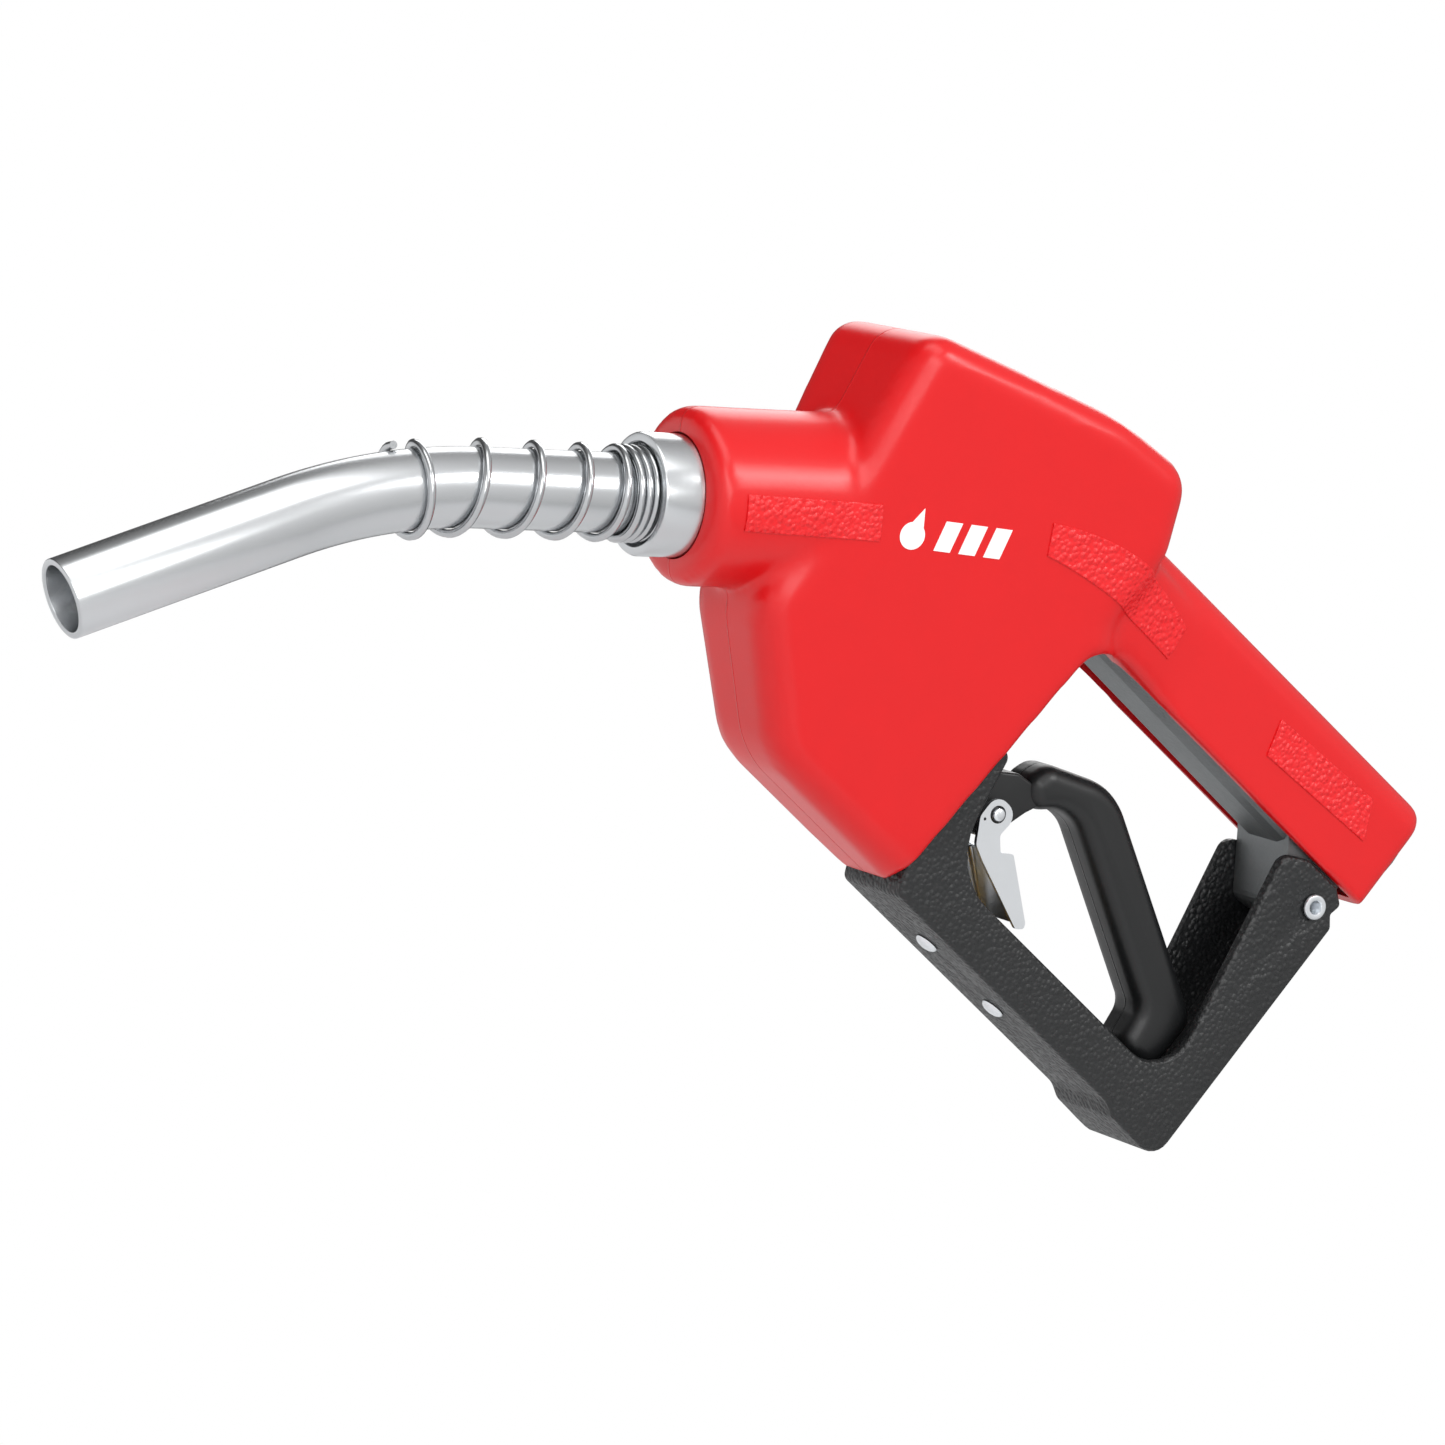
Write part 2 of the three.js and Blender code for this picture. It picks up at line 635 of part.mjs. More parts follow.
// ---------------------------------------------------------------- shut-off diaphragm

function capScrewPlaces() {
  return [45, 135, 225, 315].map((angle) => {
    const turn = THREE.MathUtils.degToRad(angle);
    return [PLUNGER_X + 18.4 * Math.cos(turn), 18.4 * Math.sin(turn)];
  });
}

function capScrew([x, y]) {
  return moved(turned([
    [0, -8.8], [1.3, -8.8], [1.3, 2.9], [2.4, 2.9], [2.4, 4.6], [1.2, 4.9], [0, 4.9],
  ], 12), x, y, 0);
}

function screwHoles(from, to) {
  return capScrewPlaces().map(([x, y]) => moved(disc(1.6, from, to, 8), x, y, 0));
}

function vacuumCap() {
  const cap = moved(turned([
    [0, 6], [14, 6], [14, -0.6], [21.4, -0.6], [21.4, 2.6], [15.6, 2.6], [15.2, 6.2], [13.5, 7.6], [0, 7.6],
  ], 20), PLUNGER_X, 0, 0);
  return cut(cap, ...screwHoles(-2, 4));
}

function diaphragm() {
  return cut(moved(ring(21.4, 2.9, -1.7, -0.9, 20), PLUNGER_X, 0, 0), ...screwHoles(-3, 1));
}

function diaphragmPlate() {
  return moved(ring(10, 2.9, -0.6, 0.7, 16), PLUNGER_X, 0, 0);
}

function latchPin() {
  return moved(turned([
    [0, -30], [1.4, -30], [2.4, -27], [2.4, -4], [10, -3.6], [10, -2], [2.6, -2], [2.6, 1.6], [0, 1.6],
  ], 14), PLUNGER_X, 0, 0);
}

function diaphragmSpring() {
  return moved(coil(7, 0.9, evenHeights(1, 5.7, 2, 0.9), 9, 4), PLUNGER_X, 0, 0);
}

// ---------------------------------------------------------------- latch plunger

const BALL_PLACES = [0, 120, 240];
const BALL_HEIGHT = -20;

function latchPlunger() {
  const shaft = moved(turned([
    [0, -81], [6.5, -81], [6.5, -52.2], [8.1, -52.2], [8.1, -50], [6.5, -50], [6.5, -14], [0, -14],
  ], 18), PLUNGER_X, 0, 0);
  const pivot = { x: PLUNGER_X, z: PIVOT_Z };
  const clevis = plate([
    [-6, -80.2], [-6, PIVOT_Z - 5.6, 5], [6, PIVOT_Z - 5.6, 5], [6, -80.2],
  ].map(([x, z, radius]) => [PLUNGER_X + x, z, radius]), -10.8, 10.8);
  const slot = plate([
    [-9, -82.5], [-9, -99], [9, -99], [9, -82.5],
  ].map(([x, z]) => [PLUNGER_X + x, z]), -7.4, 7.4);
  const bore = moved(disc(3.1, -34, -12, 12), PLUNGER_X, 0, 0);
  const ballHoles = BALL_PLACES.map((angle) => {
    const hole = lyingAlongX(disc(2, 2, 9, 8));
    hole.rotateZ(THREE.MathUtils.degToRad(angle));
    return moved(hole, PLUNGER_X, 0, BALL_HEIGHT);
  });
  return cut(join(shaft, clevis), slot, bore, crossPin(pivot, 2.6, -20, 20), ...ballHoles);
}

function latchBall(angle) {
  const turn = THREE.MathUtils.degToRad(angle);
  const ball = closed(new THREE.SphereGeometry(1.6, 8, 5));
  return moved(ball, PLUNGER_X + 4.6 * Math.cos(turn), 4.6 * Math.sin(turn), BALL_HEIGHT);
}

function latchRing() {
  return moved(ring(8.6, 7, -24, -17, 18), PLUNGER_X, 0, 0);
}

function plungerSpring() {
  return moved(coil(7.6, 1, evenHeights(-73.2, -52.5, 5, 1), 9, 4), PLUNGER_X, 0, 0);
}

function springSeat() {
  return moved(ring(8.1, 6.9, -75.8, -73.5, 18), PLUNGER_X, 0, 0);
}

function leverPivotPin() {
  const pin = turned([[0, -12.2], [2.3, -12.2], [2.3, 11.1], [3.6, 11.1], [3.6, 12.4], [0, 12.4]], 14);
  return moved(lyingAlongY(pin), PLUNGER_X, 0, PIVOT_Z);
}

// ---------------------------------------------------------------- lever and hold-open latch

// The narrow front arm: pivot eye, rounded pad under the stem, knee that carries the latch.
const LEVER_ARM = [
  [PLUNGER_X - 6, -84.4, 5.5], [PLUNGER_X - 6, -95.6, 5.5], [-200, -96.5, 6], [-131, -88.5, 6], [-122, -86.5, 5],
  [-117, -72, 3], [-112, -62, 3], [-127.5, -64.5, 3], [-132, -67.5, 3], [-150, -76, 6], [VALVE_X + 4.5, -80],
  [VALVE_X + 3, -76.6, 2], [VALVE_X, -75.5, 2.6], [VALVE_X - 3, -76.6, 2], [VALVE_X - 4.5, -80], [-200, -82],
  [PLUNGER_X + 10.5, -82], [PLUNGER_X + 8.3, -84.4],
];

// The wide hand bar with its raised front end and the heel at its tail.
const LEVER_BAR = [
  [-124.5, -63, 3], [-118.5, -72, 3], [-113, -66.5, 3], [-102, -61.3, 8], [-41, -90, 4],
  [-39, -104, 5], [-23, -104, 6], [-21.8, -80.4, 7], [-96.5, -45.6, 12], [-121, -55.5, 6],
];

function lever() {
  const arm = plate(LEVER_ARM, -LEVER_FORK_HALF, LEVER_FORK_HALF);
  const handBar = pillow(LEVER_BAR, LEVER_HALF, LEVER_ROUND);
  const pivot = { x: PLUNGER_X, z: PIVOT_Z };
  return cut(join(arm, handBar), crossPin(pivot, 2.6, -20, 20), crossPin(LATCH_PIVOT, 2.3, -20, 20));
}

const LATCH_CHEEK = [
  [-132.3, -75.2, 4.4], [-132.3, -84, 4], [-127.3, -91.4, 3], [-122, -93.6, 4], [-97.8, -101.5, 1.5],
  [-95.4, -99.6, 1], [-96.3, -97.9, 1], [-114.6, -85.2, 1], [-118.6, -87.8, 1], [-122.6, -84, 2], [-121.8, -75.2, 4.4],
];

function holdOpenLatch() {
  const inner = LATCH_HALF - LATCH_SHEET;
  const near = plate(LATCH_CHEEK, -LATCH_HALF, -inner);
  const far = plate(LATCH_CHEEK, inner, LATCH_HALF);
  const web = plate([[-115, -85.5], [-116, -86.8], [-97.4, -99.8], [-96, -98.1]], -LATCH_HALF, LATCH_HALF);
  return cut(join(near, far, web), crossPin(LATCH_PIVOT, 2.8, -20, 20));
}

function latchPivotPin() {
  const pin = turned([[0, -13], [2.05, -13], [2.05, 12.4], [3.4, 12.4], [3.4, 13.2], [0, 13.2]], 12);
  return moved(lyingAlongY(pin), LATCH_PIVOT.x, 0, LATCH_PIVOT.z);
}

function latchSpring() {
  const wound = coil(3, 0.8, evenHeights(7.4, 10.2, 2, 0.8), 8, 4);
  return moved(lyingAlongY(wound), LATCH_PIVOT.x, 0, LATCH_PIVOT.z);
}

// ---------------------------------------------------------------- guard and hold-open rack

// Spreads a guard shape slightly towards its ears.
function flared(geometry) {
  const position = geometry.attributes.position;
  for (let i = 0; i < position.count; i += 1) {
    const rise = THREE.MathUtils.clamp((position.getZ(i) + 104) / 84, 0, 1);
    position.setY(i, position.getY(i) * (1 + 0.07 * rise));
  }
  return geometry;
}

const GUARD_OUTLINE = [
  [-198, -52, 6], [-198, GUARD.tucked, 4], [-145.2, GUARD.tucked, 2], [-141, GUARD.bottom, 3],
  [-34, GUARD.bottom], [-28, GUARD.foot, 4], [GUARD.rear, GUARD.foot, 7], [GUARD.rear, -26, 3], [-13.5, -19.8, 2],
  [-31, -19.8, 6], [-39.5, -24.5, 3], [-22, -104, 14], [-131.5, -104, 22], [-139.5, -66, 3], [-180, -52, 6],
];

function leverGuard() {
  const wall = GUARD.wall;
  const outside = flared(plate(GUARD_OUTLINE, -GUARD.half, GUARD.half, 4));
  const hollow = flared(plate([
    [-230, 10], [-230, GUARD.tucked + wall], [-143.2, GUARD.tucked + wall, 2], [-139, GUARD.bottom + wall, 3],
    [GUARD.rear - wall, GUARD.bottom + wall, 6], [GUARD.rear - wall, 10],
  ], wall - GUARD.half, GUARD.half - wall, 4));
  const rivetHoles = RIVETS_X.map((x) => moved(disc(2.3, -124, -114, 12), x, 0, 0));
  const pins = [crossPin(FRONT_PIN, 2.8, -20, 20), crossPin(REAR_PIN, 3.2, -20, 20)];
  return cut(outside, hollow, ...rivetHoles, ...pins);
}

// A channel riveted inside the guard; its three steps catch the hold-open latch.
function holdOpenRack() {
  const floor = GUARD.bottom + GUARD.wall + GAP;
  const outline = [
    [-124, floor], [-72, floor, 1], [-72, floor + 2.2, 1], [-96, floor + 2.2], [-96, -113], [-105.5, -113.6],
    [-105.5, -108.8], [-115, -109.4], [-115, -104.8], [-124, -105.4],
  ];
  const block = plate(outline, -6.4, 6.4);
  const channel = plate([[-130, floor + 1.8], [-60, floor + 1.8], [-60, -100], [-130, -100]], -4.8, 4.8);
  const rivetHoles = RIVETS_X.map((x) => moved(disc(2.3, -124, -110, 12), x, 0, 0));
  return cut(block, channel, ...rivetHoles);
}

function rackRivet(x) {
  const outer = GUARD.bottom - GAP;
  const floor = GUARD.bottom + GUARD.wall + GAP + 1.8;
  return moved(turned([
    [0, outer - 1.7], [2.4, outer - 1.7], [3.85, outer - 0.7], [3.85, outer], [2, outer], [2, floor + GAP],
    [3.2, floor + GAP], [3.2, floor + GAP + 0.9], [0, floor + GAP + 0.9],
  ], 16), x, 0, 0);
}

// The hollow rivet that ties the guard's rear ears to the casting's lug.
function guardRearPin() {
  const reach = 18.6;
  return moved(lyingAlongY(turned([
    [2, -reach - 1], [4.1, -reach - 1], [4.1, -reach], [2.9, -reach], [2.9, reach], [4.1, reach],
    [4.1, reach + 1], [2, reach + 1],
  ], 16)), REAR_PIN.x, 0, REAR_PIN.z);
}

function guardFrontPin() {
  const reach = 18.2;
  return moved(lyingAlongY(turned([
    [0, -reach - 1.6], [4, -reach - 1.6], [4, -reach], [2.5, -reach], [2.5, reach + 0.8], [0, reach + 0.8],
  ], 14)), FRONT_PIN.x, 0, FRONT_PIN.z);
}

// ---------------------------------------------------------------- the nozzle

function piece(name, geometry, look) {
  geometry.computeVertexNormals();
  const material = new THREE.MeshStandardMaterial(look);
  const mesh = new THREE.Mesh(geometry, material);
  mesh.name = name;
  return mesh;
}

function outletPieces() {
  const group = new THREE.Group();
  group.position.set(OUTLET_FACE.x, 0, OUTLET_FACE.z);
  group.rotation.y = THREE.MathUtils.degToRad(90 - OUTLET_ANGLE);
  group.add(
    piece('spout_tube', spoutTube(), FINISH.aluminium),
    piece('vent_tube', ventTube(), FINISH.acetal),
    piece('anchor_spring', anchorSpring(), FINISH.springSteel),
    piece('spout_collar', spoutCollar(), FINISH.aluminium),
    piece('spout_o_ring', spoutORing(), FINISH.rubber),
    piece('spout_set_screw', setScrew(), FINISH.stainless),
    piece('check_guide', checkGuide(), FINISH.acetal),
    piece('check_poppet', checkPoppet(), FINISH.acetal),
    piece('check_seat', checkSeat(), FINISH.brass),
    piece('check_spring', checkSpring(), FINISH.stainless),
  );
  return group;
}

function bodyPieces() {
  return [
    piece('body_casting', bodyCasting(), FINISH.casting),
    piece('grip_cover', gripCover(), FINISH.redVinyl),
  ];
}

function mainValvePieces() {
  return [
    piece('disc_holder', discHolder(), FINISH.brass),
    piece('seat_disc', seatDisc(), FINISH.rubber),
    piece('valve_stem', valveStem(), FINISH.stainless),
    piece('main_spring', mainSpring(), FINISH.stainless),
    piece('valve_cap', valveCap(), FINISH.aluminium),
    piece('cap_o_ring', capORing(), FINISH.rubber),
    piece('stem_packing', stemPacking(), FINISH.acetal),
    piece('packing_nut', packingNut(), FINISH.brass),
  ];
}

function shutOffPieces() {
  const screws = capScrewPlaces().map((place, k) => piece(`vacuum_cap_screw_${k + 1}`, capScrew(place), FINISH.zincSteel));
  const balls = BALL_PLACES.map((angle, k) => piece(`latch_ball_${k + 1}`, latchBall(angle), FINISH.stainless));
  return [
    piece('vacuum_cap', vacuumCap(), FINISH.aluminium),
    piece('diaphragm', diaphragm(), FINISH.rubber),
    piece('diaphragm_plate', diaphragmPlate(), FINISH.brass),
    piece('diaphragm_spring', diaphragmSpring(), FINISH.stainless),
    piece('latch_pin', latchPin(), FINISH.stainless),
    piece('latch_ring', latchRing(), FINISH.stainless),
    piece('latch_plunger', latchPlunger(), FINISH.stainless),
    piece('plunger_spring', plungerSpring(), FINISH.stainless),
    piece('plunger_spring_seat', springSeat(), FINISH.brass),
    ...screws,
    ...balls,
  ];
}

function leverPieces() {
  return [
    piece('lever', lever(), FINISH.blackLever),
    piece('lever_pivot_pin', leverPivotPin(), FINISH.stainless),
    piece('hold_open_latch', holdOpenLatch(), FINISH.zincSteel),
    piece('latch_pivot_pin', latchPivotPin(), FINISH.zincSteel),
    piece('latch_spring', latchSpring(), FINISH.springSteel),
  ];
}

function guardPieces() {
  return [
    piece('lever_guard', leverGuard(), FINISH.blackPlastic),
    piece('hold_open_rack', holdOpenRack(), FINISH.goldZinc),
    piece('rack_rivet_front', rackRivet(RIVETS_X[0]), FINISH.zincSteel),
    piece('rack_rivet_rear', rackRivet(RIVETS_X[1]), FINISH.zincSteel),
    piece('guard_rear_rivet', guardRearPin(), FINISH.zincSteel),
    piece('guard_front_screw', guardFrontPin(), FINISH.zincSteel),
  ];
}

const nozzle = new THREE.Group();
nozzle.position.x = -INLET_FACE_X;
nozzle.add(
  outletPieces(),
  ...bodyPieces(),
  ...mainValvePieces(),
  ...shutOffPieces(),
  ...leverPieces(),
  ...guardPieces(),
);

export default nozzle;
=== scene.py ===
"""Looks of an automatic shut-off fuel nozzle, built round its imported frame.

Lengths are in millimetres in the dataclass fields and in metres on the meshes. The frame has +X along
the grip towards the hose, +Z up and Y = 0 as the plane of symmetry.
"""

import json
import logging
import math
from collections.abc import Callable, Iterator, Sequence
from contextlib import contextmanager
from dataclasses import dataclass
from enum import Enum

import bpy
from mathutils import Matrix, Vector


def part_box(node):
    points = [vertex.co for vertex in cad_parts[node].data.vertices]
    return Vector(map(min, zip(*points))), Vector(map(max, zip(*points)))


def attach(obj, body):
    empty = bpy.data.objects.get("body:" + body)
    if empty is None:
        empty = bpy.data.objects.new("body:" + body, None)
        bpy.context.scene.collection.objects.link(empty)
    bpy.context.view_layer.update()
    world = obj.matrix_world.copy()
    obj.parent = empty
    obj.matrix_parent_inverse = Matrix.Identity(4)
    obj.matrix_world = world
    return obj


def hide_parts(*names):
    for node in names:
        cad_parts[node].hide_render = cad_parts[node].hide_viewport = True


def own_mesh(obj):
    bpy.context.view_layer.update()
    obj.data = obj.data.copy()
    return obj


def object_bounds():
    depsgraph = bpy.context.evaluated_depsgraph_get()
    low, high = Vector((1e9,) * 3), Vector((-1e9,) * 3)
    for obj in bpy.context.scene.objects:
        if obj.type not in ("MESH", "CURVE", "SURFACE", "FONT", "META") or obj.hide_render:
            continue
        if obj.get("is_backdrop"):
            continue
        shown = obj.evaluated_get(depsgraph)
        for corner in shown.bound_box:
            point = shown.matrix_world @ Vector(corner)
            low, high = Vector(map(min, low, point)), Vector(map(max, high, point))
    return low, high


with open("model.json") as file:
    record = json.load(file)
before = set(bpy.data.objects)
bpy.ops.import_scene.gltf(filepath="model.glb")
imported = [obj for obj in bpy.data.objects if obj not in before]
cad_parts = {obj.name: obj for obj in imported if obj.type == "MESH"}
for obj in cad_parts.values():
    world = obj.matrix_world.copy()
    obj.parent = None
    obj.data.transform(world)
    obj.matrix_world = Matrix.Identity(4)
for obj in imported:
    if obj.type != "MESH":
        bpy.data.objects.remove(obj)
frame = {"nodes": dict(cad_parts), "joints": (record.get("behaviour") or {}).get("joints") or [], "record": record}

logging.basicConfig(level=logging.INFO, format="%(message)s")
log = logging.getLogger("nozzle")

MM = 0.001
NODES = frame["nodes"]
JOINTS = {joint["name"]: joint for joint in frame["joints"]}
MOUNTS = {mount["name"]: mount for mount in frame["record"]["mounts"]}

SIDES = {-1: "near", 1: "far"}

Corner = tuple[float, ...]
Profile = Sequence[tuple[float, float]]
EdgeTest = Callable[[Vector, Vector], bool]
Tree = bpy.types.NodeTree
Socket = bpy.types.NodeSocket


# ---- finishes


class Relief(Enum):
    """Ways in which a surface is uneven."""

    LEATHER = "leather"
    SAND = "sand"
    SATIN = "satin"
    TURNED = "turned"


def linear(hex_colour: str) -> tuple[float, float, float, float]:
    """Turns an sRGB hex colour into linear light.

    Args:
        hex_colour: Six hex digits.

    Returns:
        Red, green, blue and an alpha of one.
    """
    channels = [int(hex_colour[i : i + 2], 16) / 255 for i in (0, 2, 4)]
    light = [c / 12.92 if c <= 0.04045 else ((c + 0.055) / 1.055) ** 2.4 for c in channels]
    return (*light, 1.0)


def add_node(
    tree: Tree, kind: str, settings: dict[str, object] | None = None, links: dict[str, Socket] | None = None
) -> bpy.types.Node:
    """Adds one shader node.

    Args:
        tree: The node tree that it goes into.
        kind: The node's type name, without ShaderNode.
        settings: Properties and unlinked input values by name.
        links: Sockets to link to its inputs by name.

    Returns:
        The new node.
    """
    node = tree.nodes.new(f"ShaderNode{kind}")
    for name, value in (settings or {}).items():
        if name in node.inputs:
            node.inputs[name].default_value = value
        else:
            setattr(node, name, value)
    for name, socket in (links or {}).items():
        tree.links.new(socket, node.inputs[name])
    return node


@dataclass(frozen=True)
class Finish:
    """What a surface is made of and how it was made.

    Attributes:
        name: The material's name.
        colour: Main colour, sRGB hex.
        roughness: Mean roughness of the surface.
        metallic: One for bare metal.
        relief: How the surface is uneven.
        grain: Size of one grain, mm.
        depth: Height of the relief, mm.
        shade: How far light and dark spots lie from the main colour, as a share.
        spread: How far the roughness varies.
        seam: Height of a mould seam along Y = 0, mm.
    """

    name: str
    colour: str
    roughness: float
    metallic: float = 0.0
    relief: Relief = Relief.SATIN
    grain: float = 0.4
    depth: float = 0.01
    shade: float = 0.04
    spread: float = 0.08
    seam: float = 0.0

    def material(self) -> bpy.types.Material:
        """Builds the material once, and finds it again after that.

        Returns:
            The material.
        """
        found = bpy.data.materials.get(self.name)
        if found is not None:
            return found
        made = bpy.data.materials.new(self.name)
        made.use_nodes = True
        tree = made.node_tree
        shader = tree.nodes["Principled BSDF"]
        place = add_node(tree, "TexCoord").outputs["Object"]
        height = self._height(tree, place)
        tree.links.new(self._tint(tree, place), shader.inputs["Base Color"])
        low, high = self.roughness - self.spread, self.roughness + self.spread
        rough = add_node(tree, "MapRange", {"To Min": low, "To Max": high}, {"Value": height})
        tree.links.new(rough.outputs["Result"], shader.inputs["Roughness"])
        bump = add_node(tree, "Bump", {"Distance": self.depth * MM}, {"Height": height})
        if self.seam > 0:
            ridge = {"Height": self._seam_ridge(tree, place), "Normal": bump.outputs["Normal"]}
            bump = add_node(tree, "Bump", {"Distance": self.seam * MM}, ridge)
        tree.links.new(bump.outputs["Normal"], shader.inputs["Normal"])
        shader.inputs["Metallic"].default_value = self.metallic
        return made

    def _height(self, tree: Tree, place: Socket) -> Socket:
        """Gives the relief's height, from zero to one.

        Args:
            tree: The material's tree.
            place: Coordinates in metres.

        Returns:
            The height.
        """
        stretch, turn, detail = (1, 1, 1), (0, 0, 0), 2.0
        if self.relief is Relief.TURNED:
            stretch, turn = (0.01, 0.01, 1.0), (0, -Outlet.TILT, 0)
        elif self.relief is Relief.SAND:
            detail = 6.0
        one_grain = [s / (self.grain * MM) for s in stretch]
        turned = add_node(tree, "Mapping", {"Rotation": turn}, {"Vector": place}).outputs["Vector"]
        vector = add_node(tree, "Mapping", {"Scale": one_grain}, {"Vector": turned}).outputs["Vector"]
        if self.relief is not Relief.LEATHER:
            pits = {"Scale": 1.0, "Detail": detail}
            return add_node(tree, "TexNoise", pits, {"Vector": vector}).outputs["Fac"]
        warp = add_node(tree, "TexNoise", {"Scale": 0.7, "Detail": 2.0}, {"Vector": vector}).outputs["Color"]
        bend = {"data_type": "VECTOR", "Factor": 0.35}
        bent = add_node(tree, "Mix", bend, {"A": vector, "B": warp}).outputs[1]
        cells = {"feature": "SMOOTH_F1", "Scale": 1.15, "Smoothness": 0.25}
        distance = add_node(tree, "TexVoronoi", cells, {"Vector": bent}).outputs["Distance"]
        dome = {"From Max": 0.75, "To Min": 1.0, "To Max": 0.0}
        return add_node(tree, "MapRange", dome, {"Value": distance}).outputs["Result"]

    def _tint(self, tree: Tree, place: Socket) -> Socket:
        """Varies the main colour slowly over the surface.

        Args:
            tree: The material's tree.
            place: Coordinates in metres.

        Returns:
            The colour.
        """
        cloud_size = 12 * MM
        cloud = add_node(tree, "TexNoise", {"Scale": 1 / cloud_size, "Detail": 3.0}, {"Vector": place})
        mix = add_node(tree, "Mix", {"data_type": "RGBA"}, {"Factor": cloud.outputs["Fac"]})
        for index, change in ((6, 1 - self.shade), (7, 1 + self.shade)):
            mix.inputs[index].default_value = (*(min(1.0, c * change) for c in linear(self.colour)[:3]), 1.0)
        return mix.outputs[2]

    def _seam_ridge(self, tree: Tree, place: Socket) -> Socket:
        """Gives a thin ridge where the two halves of the mould met.

        Args:
            tree: The material's tree.
            place: Coordinates in metres.

        Returns:
            The ridge's height, from zero to one.
        """
        axes = add_node(tree, "SeparateXYZ", {}, {"Vector": place})
        off = add_node(tree, "Math", {"operation": "ABSOLUTE"}, {"Value": axes.outputs["Y"]})
        half_width = 0.5 * MM
        fall = {"interpolation_type": "SMOOTHSTEP", "From Max": half_width, "To Min": 1.0, "To Max": 0.0}
        return add_node(tree, "MapRange", fall, {"Value": off.outputs[0]}).outputs["Result"]


# The same PVC as the cover's where the mould is etched like leather, for the hand: small bright facets.
GRAINED_VINYL = Finish(
    "soft_pvc_leather_grain_red", "E01018", 0.4, relief=Relief.LEATHER, grain=1.25, depth=0.55
)
# Screen-printed white ink: flat and matt.
WHITE_INK = Finish("screen_ink_white", "F4F1F0", 0.5, grain=0.6, depth=0.005, shade=0.01)
# Aluminium turned on a lathe: fine rings round its axis.
TURNED_ALUMINIUM = Finish(
    "aluminium_turned", "CDCFD1", 0.24, metallic=1.0, relief=Relief.TURNED, grain=0.5, depth=0.002,
    shade=0.02, spread=0.04,
)

SLOT_FINISHES = {
    # Sand-cast aluminium, tumbled: a dull grey skin of tiny pits.
    "cast_aluminium": Finish(
        "aluminium_sand_cast", "7C7F80", 0.5, metallic=0.85, relief=Relief.SAND, grain=1.1, depth=0.14,
        shade=0.12,
    ),
    # Soft PVC moulded over the casting: even colour, broad soft highlights and a faint mould seam.
    "red_vinyl": Finish(
        "soft_pvc_moulded_red", "D4060D", 0.3, grain=1.2, depth=0.012, shade=0.03, spread=0.03, seam=0.25
    ),
    # Drawn aluminium tube: satin, with soft bright bands.
    "aluminium": Finish(
        "aluminium_drawn_satin", "CDCFD1", 0.25, metallic=1.0, grain=0.6, depth=0.0006, shade=0.02,
        spread=0.03,
    ),
    # Drawn spring wire: bright grey steel.
    "spring_steel": Finish(
        "spring_steel_drawn", "BFC1C3", 0.2, metallic=1.0, grain=0.5, depth=0.0008, shade=0.04, spread=0.03
    ),
    # Bright zinc plate: pale, slightly bluish and a little cloudy.
    "zinc_steel": Finish(
        "zinc_plate_bright", "E9ECEF", 0.3, metallic=1.0, grain=0.9, depth=0.002, shade=0.03, spread=0.04
    ),
    # Yellow passivated zinc plate: straw gold.
    "yellow_zinc_steel": Finish("zinc_plate_yellow", "C9A75A", 0.33, metallic=1.0, grain=1.0, shade=0.12),
    # Glass-filled nylon from an etched mould: deep grey-black with a fine leather grain.
    "black_plastic": Finish(
        "nylon_leather_grain_black", "1B1C1D", 0.44, relief=Relief.LEATHER, grain=1.2, depth=0.38, shade=0.10
    ),
    # Powder coat on the lever: satin black with a slight orange peel.
    "black_coated_steel": Finish(
        "powder_coat_satin_black", "131415", 0.38, grain=1.6, depth=0.02, shade=0.08, spread=0.04, seam=0.15
    ),
    # Machined brass of the valve trim.
    "brass": Finish("brass_machined", "C6A052", 0.3, metallic=1.0, grain=0.5, depth=0.008, shade=0.05),
    # Nitrile rubber of the seals and the diaphragm: matt black.
    "rubber": Finish("nitrile_rubber_moulded", "1A1A1A", 0.72, grain=0.5, depth=0.02, shade=0.06),
    # Machined acetal: milky white.
    "acetal": Finish("acetal_machined_white", "E6E5E0", 0.42, grain=0.5, depth=0.008, shade=0.02),
    # Ground stainless steel of stems, balls and pins.
    "stainless": Finish("stainless_ground", "B8BABC", 0.24, metallic=1.0, depth=0.006, shade=0.03),
}


# ---- the bench


def rounded(corners: Sequence[Corner], steps: int = 6) -> list[tuple[float, float]]:
    """Rounds the corners of an outline with arcs.

    Args:
        corners: Points (u, v) or (u, v, radius).
        steps: Straight pieces in each arc.

    Returns:
        The outline's points.
    """
    points = []
    count = len(corners)
    for i, (u, v, *rest) in enumerate(corners):
        radius = rest[0] if rest else 0.0
        corner = Vector((u, v))
        back = (Vector(corners[i - 1][:2]) - corner).normalized()
        ahead = (Vector(corners[(i + 1) % count][:2]) - corner).normalized()
        half = back.angle(ahead) / 2
        if radius == 0 or math.pi / 2 - half < 1e-3:
            points.append((u, v))
            continue
        start = corner + back * (radius / math.tan(half))
        centre = corner + (back + ahead).normalized() * (radius / math.sin(half))
        arm = start - centre
        cross = back.x * ahead.y - back.y * ahead.x
        sweep = (math.pi - 2 * half) * (1 if cross < 0 else -1)
        for k in range(steps + 1):
            turn = Matrix.Rotation(sweep * k / steps, 2)
            points.append(tuple(centre + turn @ arm))
    return points


def share(value: float, start: float, length: float) -> float:
    """Says how far a value has come along a stretch.

    Args:
        value: The value.
        start: Where the stretch starts.
        length: Its length.

    Returns:
        A share from zero to one.
    """
    return min(max((value - start) / length, 0), 1)


